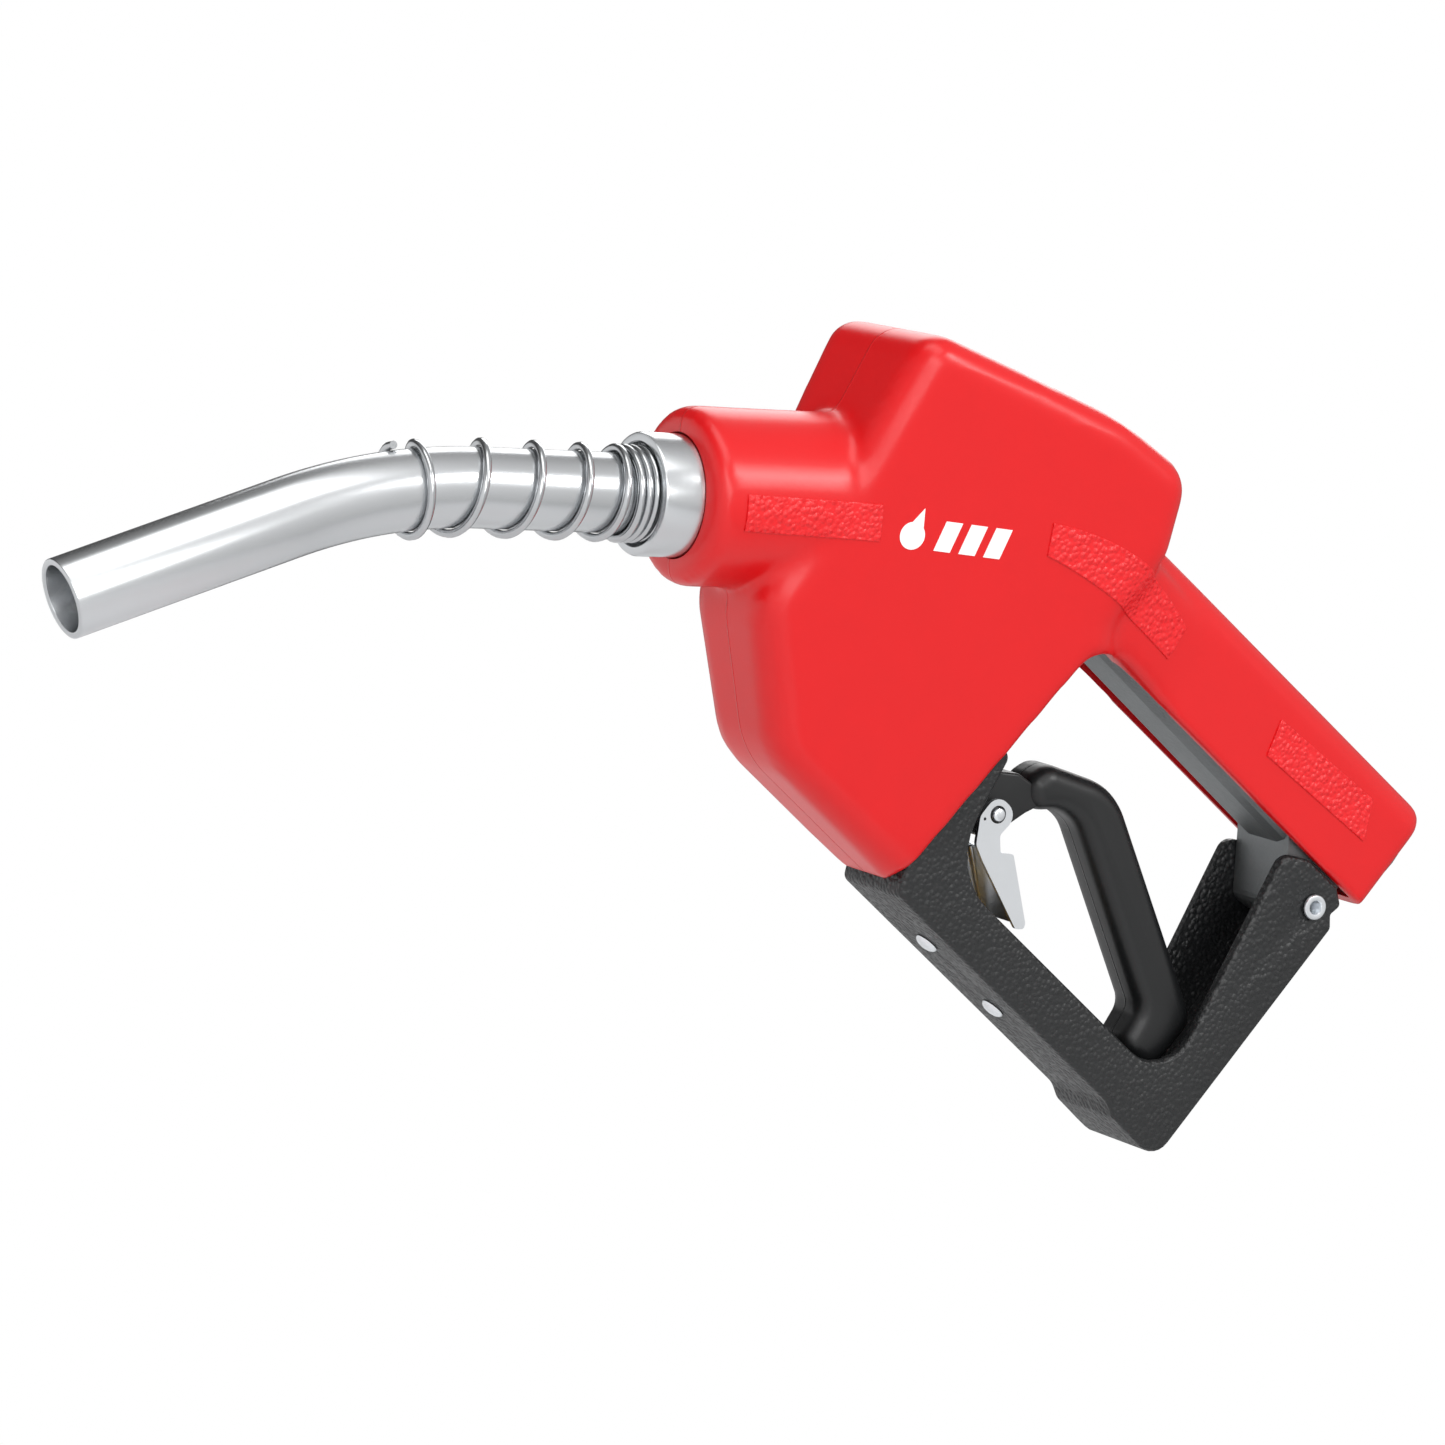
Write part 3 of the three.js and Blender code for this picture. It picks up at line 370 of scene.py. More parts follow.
def activate(obj: bpy.types.Object) -> None:
    """Makes an object the only selected and the active one.

    Args:
        obj: The object.
    """
    bpy.ops.object.select_all(action="DESELECT")
    obj.select_set(True)
    bpy.context.view_layer.objects.active = obj


class Workpiece:
    """One mesh on the bench. Operators shape it in edit mode and modifiers finish it."""

    def __init__(self, obj: bpy.types.Object, name: str) -> None:
        """Takes a new primitive.

        Args:
            obj: The primitive's object.
            name: Its name.
        """
        self.obj = obj
        self.obj.name = name
        self.obj.data.name = name

    @classmethod
    def wire(cls, name: str, points: Sequence[Sequence[float]], filled: bool = True) -> "Workpiece":
        """Adds a circle and moves its vertices onto an outline.

        Args:
            name: The piece's name.
            points: The outline's points, mm.
            filled: Whether the outline is one face.

        Returns:
            The new workpiece.
        """
        bpy.ops.object.select_all(action="DESELECT")
        fill = "NGON" if filled else "NOTHING"
        bpy.ops.mesh.primitive_circle_add(vertices=len(points), fill_type=fill)
        piece = cls(bpy.context.object, name)
        for vertex, point in zip(piece.obj.data.vertices, points, strict=True):
            vertex.co = Vector(point) * MM
        return piece

    @classmethod
    def prism(
        cls, name: str, corners: Sequence[Corner], near: float, far: float, steps: int = 6
    ) -> "Workpiece":
        """Makes a plate whose outline lies in X-Z.

        Args:
            name: The piece's name.
            corners: Corners (x, z, radius), mm.
            near: Y of one face, mm.
            far: Y of the other face, mm.
            steps: Straight pieces in each corner's arc.

        Returns:
            The new workpiece.
        """
        piece = cls.wire(name, [(x, near, z) for x, z in rounded(corners, steps)])
        with piece.editing():
            bpy.ops.mesh.extrude_region_move(TRANSFORM_OT_translate={"value": (0, (far - near) * MM, 0)})
        piece.face_out()
        return piece

    @classmethod
    def turned(cls, name: str, profile: Profile, place: Matrix | None = None, steps: int = 64) -> "Workpiece":
        """Spins a profile round the Z axis.

        Args:
            name: The piece's name.
            profile: Points (radius, z) of a closed profile, mm.
            place: Where the turned piece's own frame lies.
            steps: Steps round the axis.

        Returns:
            The new workpiece.
        """
        piece = cls.wire(name, [(radius, 0, z) for radius, z in profile], filled=False)
        with piece.editing():
            bpy.ops.mesh.spin(steps=steps, angle=2 * math.pi, center=(0, 0, 0), axis=(0, 0, 1))
            bpy.ops.mesh.select_all(action="SELECT")
            bpy.ops.mesh.remove_doubles(threshold=1e-6)
            bpy.ops.mesh.dissolve_degenerate(threshold=1e-7)
            bpy.ops.mesh.delete_loose()
        piece.face_out()
        if place is not None:
            piece.obj.data.transform(place)
        return piece

    @classmethod
    def rod(cls, radius: float, reach: float, place: Matrix, steps: int = 32) -> "Workpiece":
        """Turns a cutter for a round hole.

        Args:
            radius: The hole's radius, mm.
            reach: How far it reaches both ways, mm.
            place: Where the hole's own frame lies.
            steps: Steps round the axis.

        Returns:
            The new workpiece.
        """
        return cls.turned("hole", [(0, -reach), (radius, -reach), (radius, reach), (0, reach)], place, steps)

    @classmethod
    def pillow(
        cls, name: str, corners: Sequence[Corner], half: float, edge: float, steps: int = 6, rings: int = 4
    ) -> "Workpiece":
        """Makes a plate whose long edges are rounded by repeated insets.

        Args:
            name: The piece's name.
            corners: Corners (x, z, radius), mm.
            half: Half the thickness along Y, mm.
            edge: Radius of the long edges, mm.
            steps: Straight pieces in each corner's arc.
            rings: Insets in each rounded edge.

        Returns:
            The new workpiece.
        """
        piece = cls.prism(name, corners, edge - half, half - edge, steps)
        for side in SIDES:
            piece.deselect()
            for face in piece.obj.data.polygons:
                face.select = face.normal.y * side > 0.9 and len(face.vertices) > 4
            with piece.editing("FACE"):
                for k in range(rings):
                    a, b = (math.pi / 2 * j / rings for j in (k, k + 1))
                    thickness = edge * (math.cos(a) - math.cos(b)) * MM
                    depth = edge * (math.sin(b) - math.sin(a)) * MM
                    bpy.ops.mesh.inset(thickness=thickness, depth=depth, use_even_offset=True)
        return piece

    @contextmanager
    def editing(self, chosen: str | None = None) -> Iterator[None]:
        """Opens the piece in edit mode.

        Args:
            chosen: EDGE or FACE to work on those that are selected, or None to work on everything.

        Yields:
            Nothing.
        """
        activate(self.obj)
        kinds = [kind == (chosen or "VERT") for kind in ("VERT", "EDGE", "FACE")]
        bpy.context.tool_settings.mesh_select_mode = kinds
        bpy.ops.object.mode_set(mode="EDIT")
        if chosen is None:
            bpy.ops.mesh.select_all(action="SELECT")
        try:
            yield
        finally:
            bpy.ops.object.mode_set(mode="OBJECT")

    def face_out(self) -> None:
        """Turns every face outwards."""
        with self.editing():
            bpy.ops.mesh.normals_make_consistent(inside=False)

    def deselect(self) -> None:
        """Deselects the whole mesh. The piece is out of edit mode."""
        mesh = self.obj.data
        for group in (mesh.vertices, mesh.edges, mesh.polygons):
            for element in group:
                element.select = False

    def bevel(self, width: float, segments: int, edges: EdgeTest) -> "Workpiece":
        """Rounds chosen edges.

        Args:
            width: Distance from the old edge to the new face, mm.
            segments: Steps of the rounding.
            edges: Test of an edge's two ends, in metres.

        Returns:
            The workpiece.
        """
        self.deselect()
        for edge in self.obj.data.edges:
            a, b = (self.obj.data.vertices[i] for i in edge.vertices)
            if edges(a.co, b.co):
                edge.select = a.select = b.select = True
        with self.editing("EDGE"):
            bpy.ops.mesh.bevel(
                offset_type="OFFSET", offset=width * MM, segments=segments, affect="EDGES", clamp_overlap=True
            )
        return self

    def ease(self, width: float, segments: int, angle: float = 50) -> "Workpiece":
        """Rounds every sharp edge a little.

        Args:
            width: Width of the rounding, mm.
            segments: Steps of the rounding.
            angle: Edges sharper than this are rounded, degrees.

        Returns:
            The workpiece.
        """
        sharp = {"limit_method": "ANGLE", "angle_limit": math.radians(angle)}
        return self.modifier("BEVEL", width=width * MM, segments=segments, **sharp)

    def modifier(self, kind: str, **settings: object) -> "Workpiece":
        """Adds a modifier and applies it.

        Args:
            kind: The modifier's type.
            settings: Its settings by name.

        Returns:
            The workpiece.
        """
        activate(self.obj)
        added = self.obj.modifiers.new(kind.lower(), kind)
        for name, value in settings.items():
            setattr(added, name, value)
        bpy.ops.object.modifier_apply(modifier=added.name)
        return self

    def combine(self, how: str, *others: "Workpiece") -> "Workpiece":
        """Joins or cuts with other pieces, which are used up.

        Args:
            how: UNION or DIFFERENCE.
            others: The other pieces.

        Returns:
            The workpiece.
        """
        for other in others:
            self.modifier("BOOLEAN", object=other.obj, operation=how, solver="EXACT")
            bpy.data.objects.remove(other.obj)
        return self

    def shift(self, move: Callable[[Vector], Vector]) -> "Workpiece":
        """Moves every vertex.

        Args:
            move: Gives a vertex's new place, in metres.

        Returns:
            The workpiece.
        """
        for vertex in self.obj.data.vertices:
            vertex.co = move(vertex.co)
        return self

    def hand_in(
        self,
        slot: str,
        replaces: Sequence[str] = (),
        finish: Finish | None = None,
        crease: float = 35,
        body: str = "nozzle_body",
    ) -> None:
        """Shades and dresses the finished piece, hangs it on its body and hides the CAD nodes that it replaces.

        Args:
            slot: The record's material slot.
            replaces: CAD nodes that it stands for.
            finish: Its finish, or None for the slot's own.
            crease: Edges sharper than this angle stay sharp, degrees.
            body: The CAD body that it rides on.
        """
        activate(self.obj)
        bpy.ops.object.shade_smooth_by_angle(angle=math.radians(crease))
        self.obj.data.materials.clear()
        self.obj.data.materials.append((finish or SLOT_FINISHES[slot]).material())
        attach(self.obj, body)
        if replaces:
            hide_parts(*replaces)
        log.info("%s: %d faces on %s", self.obj.name, len(self.obj.data.polygons), body)


def across(a: Vector, b: Vector) -> bool:
    """Tells whether an edge runs along Y.

    Args:
        a: One end.
        b: The other end.

    Returns:
        Whether it does.
    """
    return abs(a.x - b.x) < 1e-6 and abs(a.z - b.z) < 1e-6


def coil_piece(name: str, path: Sequence[Vector], wire: float) -> Workpiece:
    """Makes round wire along a path of points.

    Args:
        name: The piece's name.
        path: Points, mm.
        wire: Wire diameter, mm.

    Returns:
        The workpiece.
    """
    bpy.ops.object.select_all(action="DESELECT")
    bpy.ops.curve.primitive_nurbs_path_add()
    obj = bpy.context.object
    curve = obj.data
    curve.splines.clear()
    spline = curve.splines.new("NURBS")
    spline.points.add(len(path) - 1)
    for point, at in zip(spline.points, path, strict=True):
        point.co = (*(at * MM), 1.0)
    spline.order_u = 4
    spline.use_endpoint_u = True
    spline.resolution_u = 2
    curve.bevel_depth = wire * MM / 2
    curve.bevel_resolution = 3
    curve.use_fill_caps = True
    bpy.ops.object.convert(target="MESH")
    return Workpiece(bpy.context.object, name)


def on_hinge(joint: str) -> Matrix:
    """Gives the frame of a pin or a hole on a hinge that runs along Y.

    Args:
        joint: The hinge's name.

    Returns:
        The frame as a matrix.
    """
    return lying(Vector(JOINTS[joint]["pos_m"]) / MM, "Y")


def lying(place: Vector, axis: str) -> Matrix:
    """Gives the frame of a turned piece that lies along an axis.

    Args:
        place: Its origin, mm.
        axis: X or Y.

    Returns:
        The frame as a matrix.
    """
    turn = Matrix.Rotation(math.pi / 2, 4, "Y") if axis == "X" else Matrix.Rotation(-math.pi / 2, 4, "X")
    return Matrix.Translation(place * MM) @ turn


# ---- outlet


@dataclass
class Outlet:
    """Spout, anchor spring and collar. Their own frame has Z along the outlet, towards the body."""

    TILT = math.radians(52)

    radius: float = 11.9
    wall: float = 2.0
    insertion: float = 26.0
    straight: float = 58.0
    bend_radius: float = 175.0
    bend_angle: float = math.radians(20.3)
    end: float = 72.6
    coil_radius: float = 13.55
    wire: float = 2.5
    coils: tuple[float, ...] = (84.6, 78.2, 58.0, 40.5, 25.0, 12.9, 10.3, 7.7, 5.1, 2.5)
    collar_face: float = -5.5

    def frame(self) -> Matrix:
        """Gives the outlet's frame, whose origin lies just behind the collar's front face."""
        x, _, z = MOUNTS["spout_collar_face"]["pos_m"]
        back = Matrix.Translation((0, 0, -self.collar_face * MM))
        return Matrix.Translation((x, 0, z)) @ Matrix.Rotation(self.TILT, 4, "Y") @ back

    def build(self) -> None:
        """Builds the outlet's visible pieces."""
        self.spout()
        self.spring()
        self.collar()

    def spout(self) -> None:
        """Extrudes and spins a circle into the bent tube, and gives it its wall and its eased rim."""
        sides = 72
        ring = [
            (self.radius * math.cos(a), self.radius * math.sin(a), self.insertion)
            for a in (2 * math.pi * k / sides for k in range(sides))
        ]
        tube = Workpiece.wire("spout_tube_drawn", ring, filled=False)
        with tube.editing():
            down = -(self.insertion + self.straight) * MM
            bpy.ops.mesh.extrude_region_move(TRANSFORM_OT_translate={"value": (0, 0, down)})
            centre = (self.bend_radius * MM, 0, -self.straight * MM)
            bpy.ops.mesh.spin(steps=24, angle=self.bend_angle, center=centre, axis=(0, 1, 0))
            along = Vector((math.sin(self.bend_angle), 0, -math.cos(self.bend_angle))) * self.end * MM
            bpy.ops.mesh.extrude_region_move(TRANSFORM_OT_translate={"value": along})
            bpy.ops.mesh.select_all(action="SELECT")
            bpy.ops.mesh.remove_doubles(threshold=1e-6)
        tube.face_out()
        tube.modifier("SOLIDIFY", thickness=self.wall * MM, offset=-1.0)
        tube.ease(0.45, 3)
        tube.obj.data.transform(self.frame())
        tube.hand_in("aluminium", ["spout_tube"])

    def point_on_spout(self, along: float, out: Vector) -> Vector:
        """Gives a point beside the spout's centre line.

        Args:
            along: Distance from the outlet's origin, mm.
            out: Offset in the spout's own section: in the plane of the bend, and across it.

        Returns:
            The point in the outlet's frame, mm.
        """
        past = along - self.straight
        angle = min(max(past / self.bend_radius, 0.0), self.bend_angle)
        after = max(past - self.bend_radius * self.bend_angle, 0.0)
        x = self.bend_radius * (1 - math.cos(angle)) + after * math.sin(angle)
        z = -self.straight - min(past, 0.0) - self.bend_radius * math.sin(angle) - after * math.cos(angle)
        return Vector((x + out.x * math.cos(angle), out.y, z + out.x * math.sin(angle)))

    def spring(self) -> None:
        """Winds the anchor spring: close coils at both ends and open ones between."""
        steps = 24
        turns = len(self.coils) - 1
        path = []
        for k in range(turns * steps + 1):
            whole, part = divmod(k / steps, 1)
            low = self.coils[int(whole)]
            high = self.coils[min(int(whole) + 1, turns)]
            angle = 2 * math.pi * k / steps
            out = Vector((-self.coil_radius * math.cos(angle), self.coil_radius * math.sin(angle)))
            path.append(self.point_on_spout(low + (high - low) * part, out))
        spring = coil_piece("anchor_spring_wound", path, self.wire)
        spring.obj.data.transform(self.frame())
        spring.hand_in("spring_steel", ["anchor_spring"], crease=60)

    def collar(self) -> None:
        """Turns the spout nut, with its recess for the spring's close coils."""
        bore = self.radius + 0.3
        profile = [
            (bore, 0.5), (15.1, 0.5), (15.4, 0.1), (15.4, -5.1), (15.8, -5.5), (17.4, -5.5), (18.1, -5.2),
            (18.4, -4.5), (18.4, 21.4), (18.1, 21.7), (17, 21.7), (17, 30.6), (bore, 30.6), (bore, 27),
            (14.6, 27), (14.6, 23), (bore, 23),
        ]
        collar = Workpiece.turned("spout_collar_turned", profile, self.frame(), steps=96)
        collar.hand_in("aluminium", ["spout_collar"], TURNED_ALUMINIUM, crease=30)


# ---- cover


@dataclass
class Cover:
    """The one-piece red vinyl cover over the body and the grip."""

    half: float = 32.0
    lean: float = 0.087
    level: float = 10.0
    round: float = 9.0
    wall: float = 2.5
    open_x: float = -141.0
    grip_half: float = 19.0
    grip_rear: float = -0.2
    voxel: float = 1.25
    clear: float = 45.0
    outline: tuple[Corner, ...] = (
        (-242.5, -50), (-240, -88.5), (-201, -119.2), (-128, -119.2), (-128, -24), (-139.8, -17),
        (-139.4, 8.5), (-153.5, 34), (-183.5, 30.5), (-213.5, 20.5), (-254, 6.5),
    )
    strips: tuple[tuple[tuple[Corner, ...], tuple[Corner, ...]], ...] = (
        (((-267.2, -69.4), (-230.3, -42.3)), ((-260.4, -77.9), (-223.1, -50.7))),
        (((-182.1, -8.8), (-150.1, 3.2), (-116.8, 2.1)), ((-176.4, -17.1), (-148.5, -11.3), (-114.9, -9.1))),
        (((-68.0, 4.7), (-22.9, 8.5)), ((-64.3, -6.9), (-16.2, -3.3))),
    )

    def lean_out(self, block: Workpiece, half: float) -> None:
        """Moves a block's sides to the body's half width at each height.

        Args:
            block: The block.
            half: The half width at the cover's level height, mm.
        """

        def spread(co: Vector) -> Vector:
            width = half + self.lean * (co.z / MM - self.level)
            return Vector((co.x, math.copysign(width * MM, co.y), co.z))

        block.shift(spread)

    def build(self) -> None:
        """Builds the cover, its grained strips and its printed mark."""
        shell = self.outside()
        skin = shell.obj.copy()
        skin.data = shell.obj.data.copy()
        bpy.context.collection.objects.link(skin)
        self.hollow(shell)
        shell.hand_in("red_vinyl", ["grip_cover"], crease=50)
        for k, (upper, lower) in enumerate(self.strips, 1):
            for side in SIDES:
                self.strip(f"grip_strip_{k}_{SIDES[side]}", upper, lower, side, skin)
        for side in SIDES:
            self.mark(side, skin)
        bpy.data.objects.remove(skin)

    def body_block(self) -> Workpiece:
        """Makes the body's block with rounded edges and leaning sides."""
        block = Workpiece.prism("cover_shell", self.outline, -1, 1)
        self.lean_out(block, self.half)
        low = min(v.co.z for v in block.obj.data.vertices) + 1e-4
        rear = max(v.co.x for v in block.obj.data.vertices) - 1e-4
        return block.bevel(self.round, 6, lambda a, b: min(a.x, b.x) <= rear or min(a.z, b.z) < low)

    def grip_block(self) -> Workpiece:
        """Makes the grip: a tapered bar, rounded all round, cut flat along its lower edge."""
        rear = self.grip_rear
        outline = [(-161.5, 15.8), (-161.5, -30), (rear, -27.4), (rear, 19)]
        bar = Workpiece.prism("grip", outline, -self.grip_half, self.grip_half)
        bar.bevel(9.0, 8, lambda a, b: abs(a.x - b.x) > 50 * MM)
        end = max(vertex.co.x for vertex in bar.obj.data.vertices)
        bar.bevel(5.0, 5, lambda a, b: min(a.x, b.x) > end - 0.1 * MM)
        edge = Workpiece.prism("edge", [(-162.5, -20.8), (-162.5, -60), (5, -60), (5, -18.4)], -40, 40)
        return bar.combine("DIFFERENCE", edge)

    def shoulder_block(self) -> Workpiece:
        """Makes the wedge that leads the body's sides into the grip."""
        front, rear = -168.5, -104.0
        front_half, rear_half = 28.6, self.grip_half - 0.4
        wedge = Workpiece.prism("shoulder", [(front, 11), (front, -21.8), (rear, -20.3), (rear, 9)], -1, 1)

        def spread(co: Vector) -> Vector:
            part = (co.x / MM - front) / (rear - front)
            half = front_half + (rear_half - front_half) * part
            return Vector((co.x, math.copysign(half * MM, co.y), co.z))

        return wedge.shift(spread).bevel(4.0, 4, lambda a, b: abs(a.z - b.z) < 3 * MM and not across(a, b))

    def boss_block(self) -> Workpiece:
        """Makes the round boss that takes the collar."""
        profile = [
            (0, 7.6), (20.6, 7.6), (22.9, 7.9), (24.8, 8.7), (26.1, 10.1), (26.7, 11.9), (26.8, 13.6),
            (26.8, 66), (0, 66),
        ]
        return Workpiece.turned("boss", profile, Outlet().frame())

    def outside(self) -> Workpiece:
        """Joins the blocks and melts them into one skin."""
        behind = Workpiece.prism(
            "behind", [(self.open_x, -130), (-90, -130), (-90, -23.4), (self.open_x, -23.4, 9)], -40, 40
        )
        shell = self.body_block().combine("DIFFERENCE", behind)
        shell.combine("UNION", self.grip_block(), self.shoulder_block(), self.boss_block())
        shell.modifier("REMESH", mode="VOXEL", voxel_size=self.voxel * MM, use_smooth_shade=True)
        self.melt(shell, "all", 7, lambda co: 1.0)
        self.melt(shell, "shoulder", 60, self.shoulder_share)
        self.melt(shell, "boss_root", 30, self.boss_root_share)
        return shell

    def shoulder_share(self, co: Vector) -> float:
        """Says how much a point takes part in the blend from body to grip.

        Args:
            co: The point, metres.

        Returns:
            A share from zero to one.
        """
        x, y, z = (c / MM for c in co)
        return share(x, -158, 12) * share(-x, 98, 12) * share(abs(y), 11, 5) * share(-z, -11, 6)

    def boss_root_share(self, co: Vector) -> float:
        """Says how much a point takes part in the blend from boss to body.

        Args:
            co: The point, metres.

        Returns:
            A share from zero to one.
        """
        x, y, z = (c / MM for c in Outlet().frame().inverted() @ co)
        return share(z, 17, 9) * share(-math.hypot(x, y), -40, 9) * share(-z, -70, 10)

    def melt(self, shell: Workpiece, name: str, times: int, part: Callable[[Vector], float]) -> None:
        """Smooths part of the skin.

        Args:
            shell: The skin.
            name: Name of the vertex group that carries each point's part.
            times: How many passes.
            part: Gives how much a point takes part, from zero to one.
        """
        group = shell.obj.vertex_groups.new(name=name)
        for vertex in shell.obj.data.vertices:
            weight = part(vertex.co)
            if weight > 0:
                group.add([vertex.index], weight, "REPLACE")
        shell.modifier("SMOOTH", factor=0.5, iterations=times, vertex_group=name)

    def hollow(self, shell: Workpiece) -> None:
        """Cuts the room for the casting, the inlet, the guard and the collar.

        Args:
            shell: The solid skin.
        """
        inside = [
            (-239.3, -49.5), (-236.8, -87), (-200, -116.2), (-120, -116.2), (-120, -21.2), (-142.8, -21.2),
            (-142.4, 7.5), (-155.4, 30.8), (-183, 27.4), (-212.5, 17.6), (-249, 4.6),
        ]
        body = Workpiece.prism("room", inside, -1, 1)
        self.lean_out(body, self.half - self.wall)
        body.bevel(7.0, 4, lambda a, b: min(a.x, b.x) < -121 * MM and not (across(a, b) and a.z < -116 * MM))
        inside = [(-161.5, 13), (-161.5, -40), (-5.8, -40), (-5.8, 16.3)]
        grip_room = Workpiece.prism("room", inside, -16.3, 16.3)
        grip_room.bevel(5.5, 3, lambda a, b: min(a.z, b.z) > 5 * MM and not across(a, b))
        inlet = Workpiece.turned("inlet", [(0, -16), (15.7, -16), (15.7, 5), (0, 5)], lying(Vector(), "X"))
        inside = [(0, 0), (18.9, 0), (18.9, 20.5), (24.2, 20.5), (24.2, 62), (0, 62)]
        collar_room = Workpiece.turned("collar_room", inside, Outlet().frame())
        shell.combine("DIFFERENCE", body, grip_room, inlet, collar_room)

    @staticmethod
    def press_on(piece: Workpiece, side: int, skin: bpy.types.Object, thickness: float) -> None:
        """Lays a flat piece on the cover's side and gives it a thickness.

        Args:
            piece: The piece, outside the cover.
            side: -1 for the near side and 1 for the far one.
            skin: The cover's solid skin.
            thickness: The thickness, half of it outside the skin, mm.
        """
        piece.modifier(
            "SHRINKWRAP",
            target=skin,
            wrap_method="PROJECT",
            use_project_y=True,
            use_positive_direction=side < 0,
            use_negative_direction=side > 0,
        )
        piece.modifier("SOLIDIFY", thickness=thickness * MM, offset=0.0)
        piece.face_out()

    def strip(
        self, name: str, upper: Sequence[Corner], lower: Sequence[Corner], side: int, skin: bpy.types.Object
    ) -> None:
        """Lays a raised grained strip on the cover's side.

        Args:
            name: The piece's name.
            upper: Two or three points along its upper edge (x, z), mm.
            lower: As many along its lower edge.
            side: -1 for the near side and 1 for the far one.
            skin: The cover's solid skin.
        """
        bpy.ops.object.select_all(action="DESELECT")
        columns, rows = 72, 20
        bpy.ops.mesh.primitive_grid_add(x_subdivisions=columns, y_subdivisions=rows, size=1)
        patch = Workpiece(bpy.context.object, name)

        def lay(co: Vector) -> Vector:
            top, bottom = self.along(upper, co.x + 0.5), self.along(lower, co.x + 0.5)
            x, z = top.lerp(bottom, 0.5 - co.y)
            return Vector((x * MM, side * self.clear * MM, z * MM))

        patch.shift(lay)
        self.press_on(patch, side, skin, 1.0)
        patch.ease(0.16, 2)
        patch.hand_in("red_vinyl", finish=GRAINED_VINYL)

    @staticmethod
    def along(points: Sequence[Corner], part: float) -> Vector:
        """Gives the point a share of the way along an edge of two or three points.

        Args:
            points: The edge's points.
            part: The share, from zero to one.

        Returns:
            The point.
        """
        first, last = Vector(points[0]), Vector(points[-1])
        if len(points) == 2:
            return first.lerp(last, part)
        control = 2 * Vector(points[1]) - (first + last) / 2
        return first.lerp(control, part).lerp(control.lerp(last, part), part)

    def mark(self, side: int, skin: bpy.types.Object) -> None:
        """Prints a drop and three slanted bars on the cover's side.

        Args:
            side: -1 for the near side and 1 for the far one.
            skin: The cover's solid skin.
        """
        centre, tilt = Vector((-202.0, -32.0)), math.radians(33.5)
        radius, point = 4.2, (-15.0, 7.6)
        angles = [math.radians(100 + 12.5 * k) for k in range(25)]
        shapes = [[*((-17.5 + radius * math.cos(a), -1.0 + radius * math.sin(a)) for a in angles), point]]
        half, width, slant = 4.6, 5.6, 2.6
        for left in (-9.5, -0.9, 7.7):
            foot = [(left, -half), (left + width, -half)]
            shapes.append([*foot, (left + width + slant, half), (left + slant, half)])
        for k, shape in enumerate(shapes, 1):
            turned = [centre + Matrix.Rotation(tilt, 2) @ Vector(p) for p in shape]
            outline = [(p.x, side * self.clear, p.y) for p in turned]
            ink = Workpiece.wire(f"printed_mark_{k}_{SIDES[side]}", outline)
            self.press_on(ink, side, skin, 0.36)
            ink.hand_in("red_vinyl", finish=WHITE_INK)


# ---- lever and latch


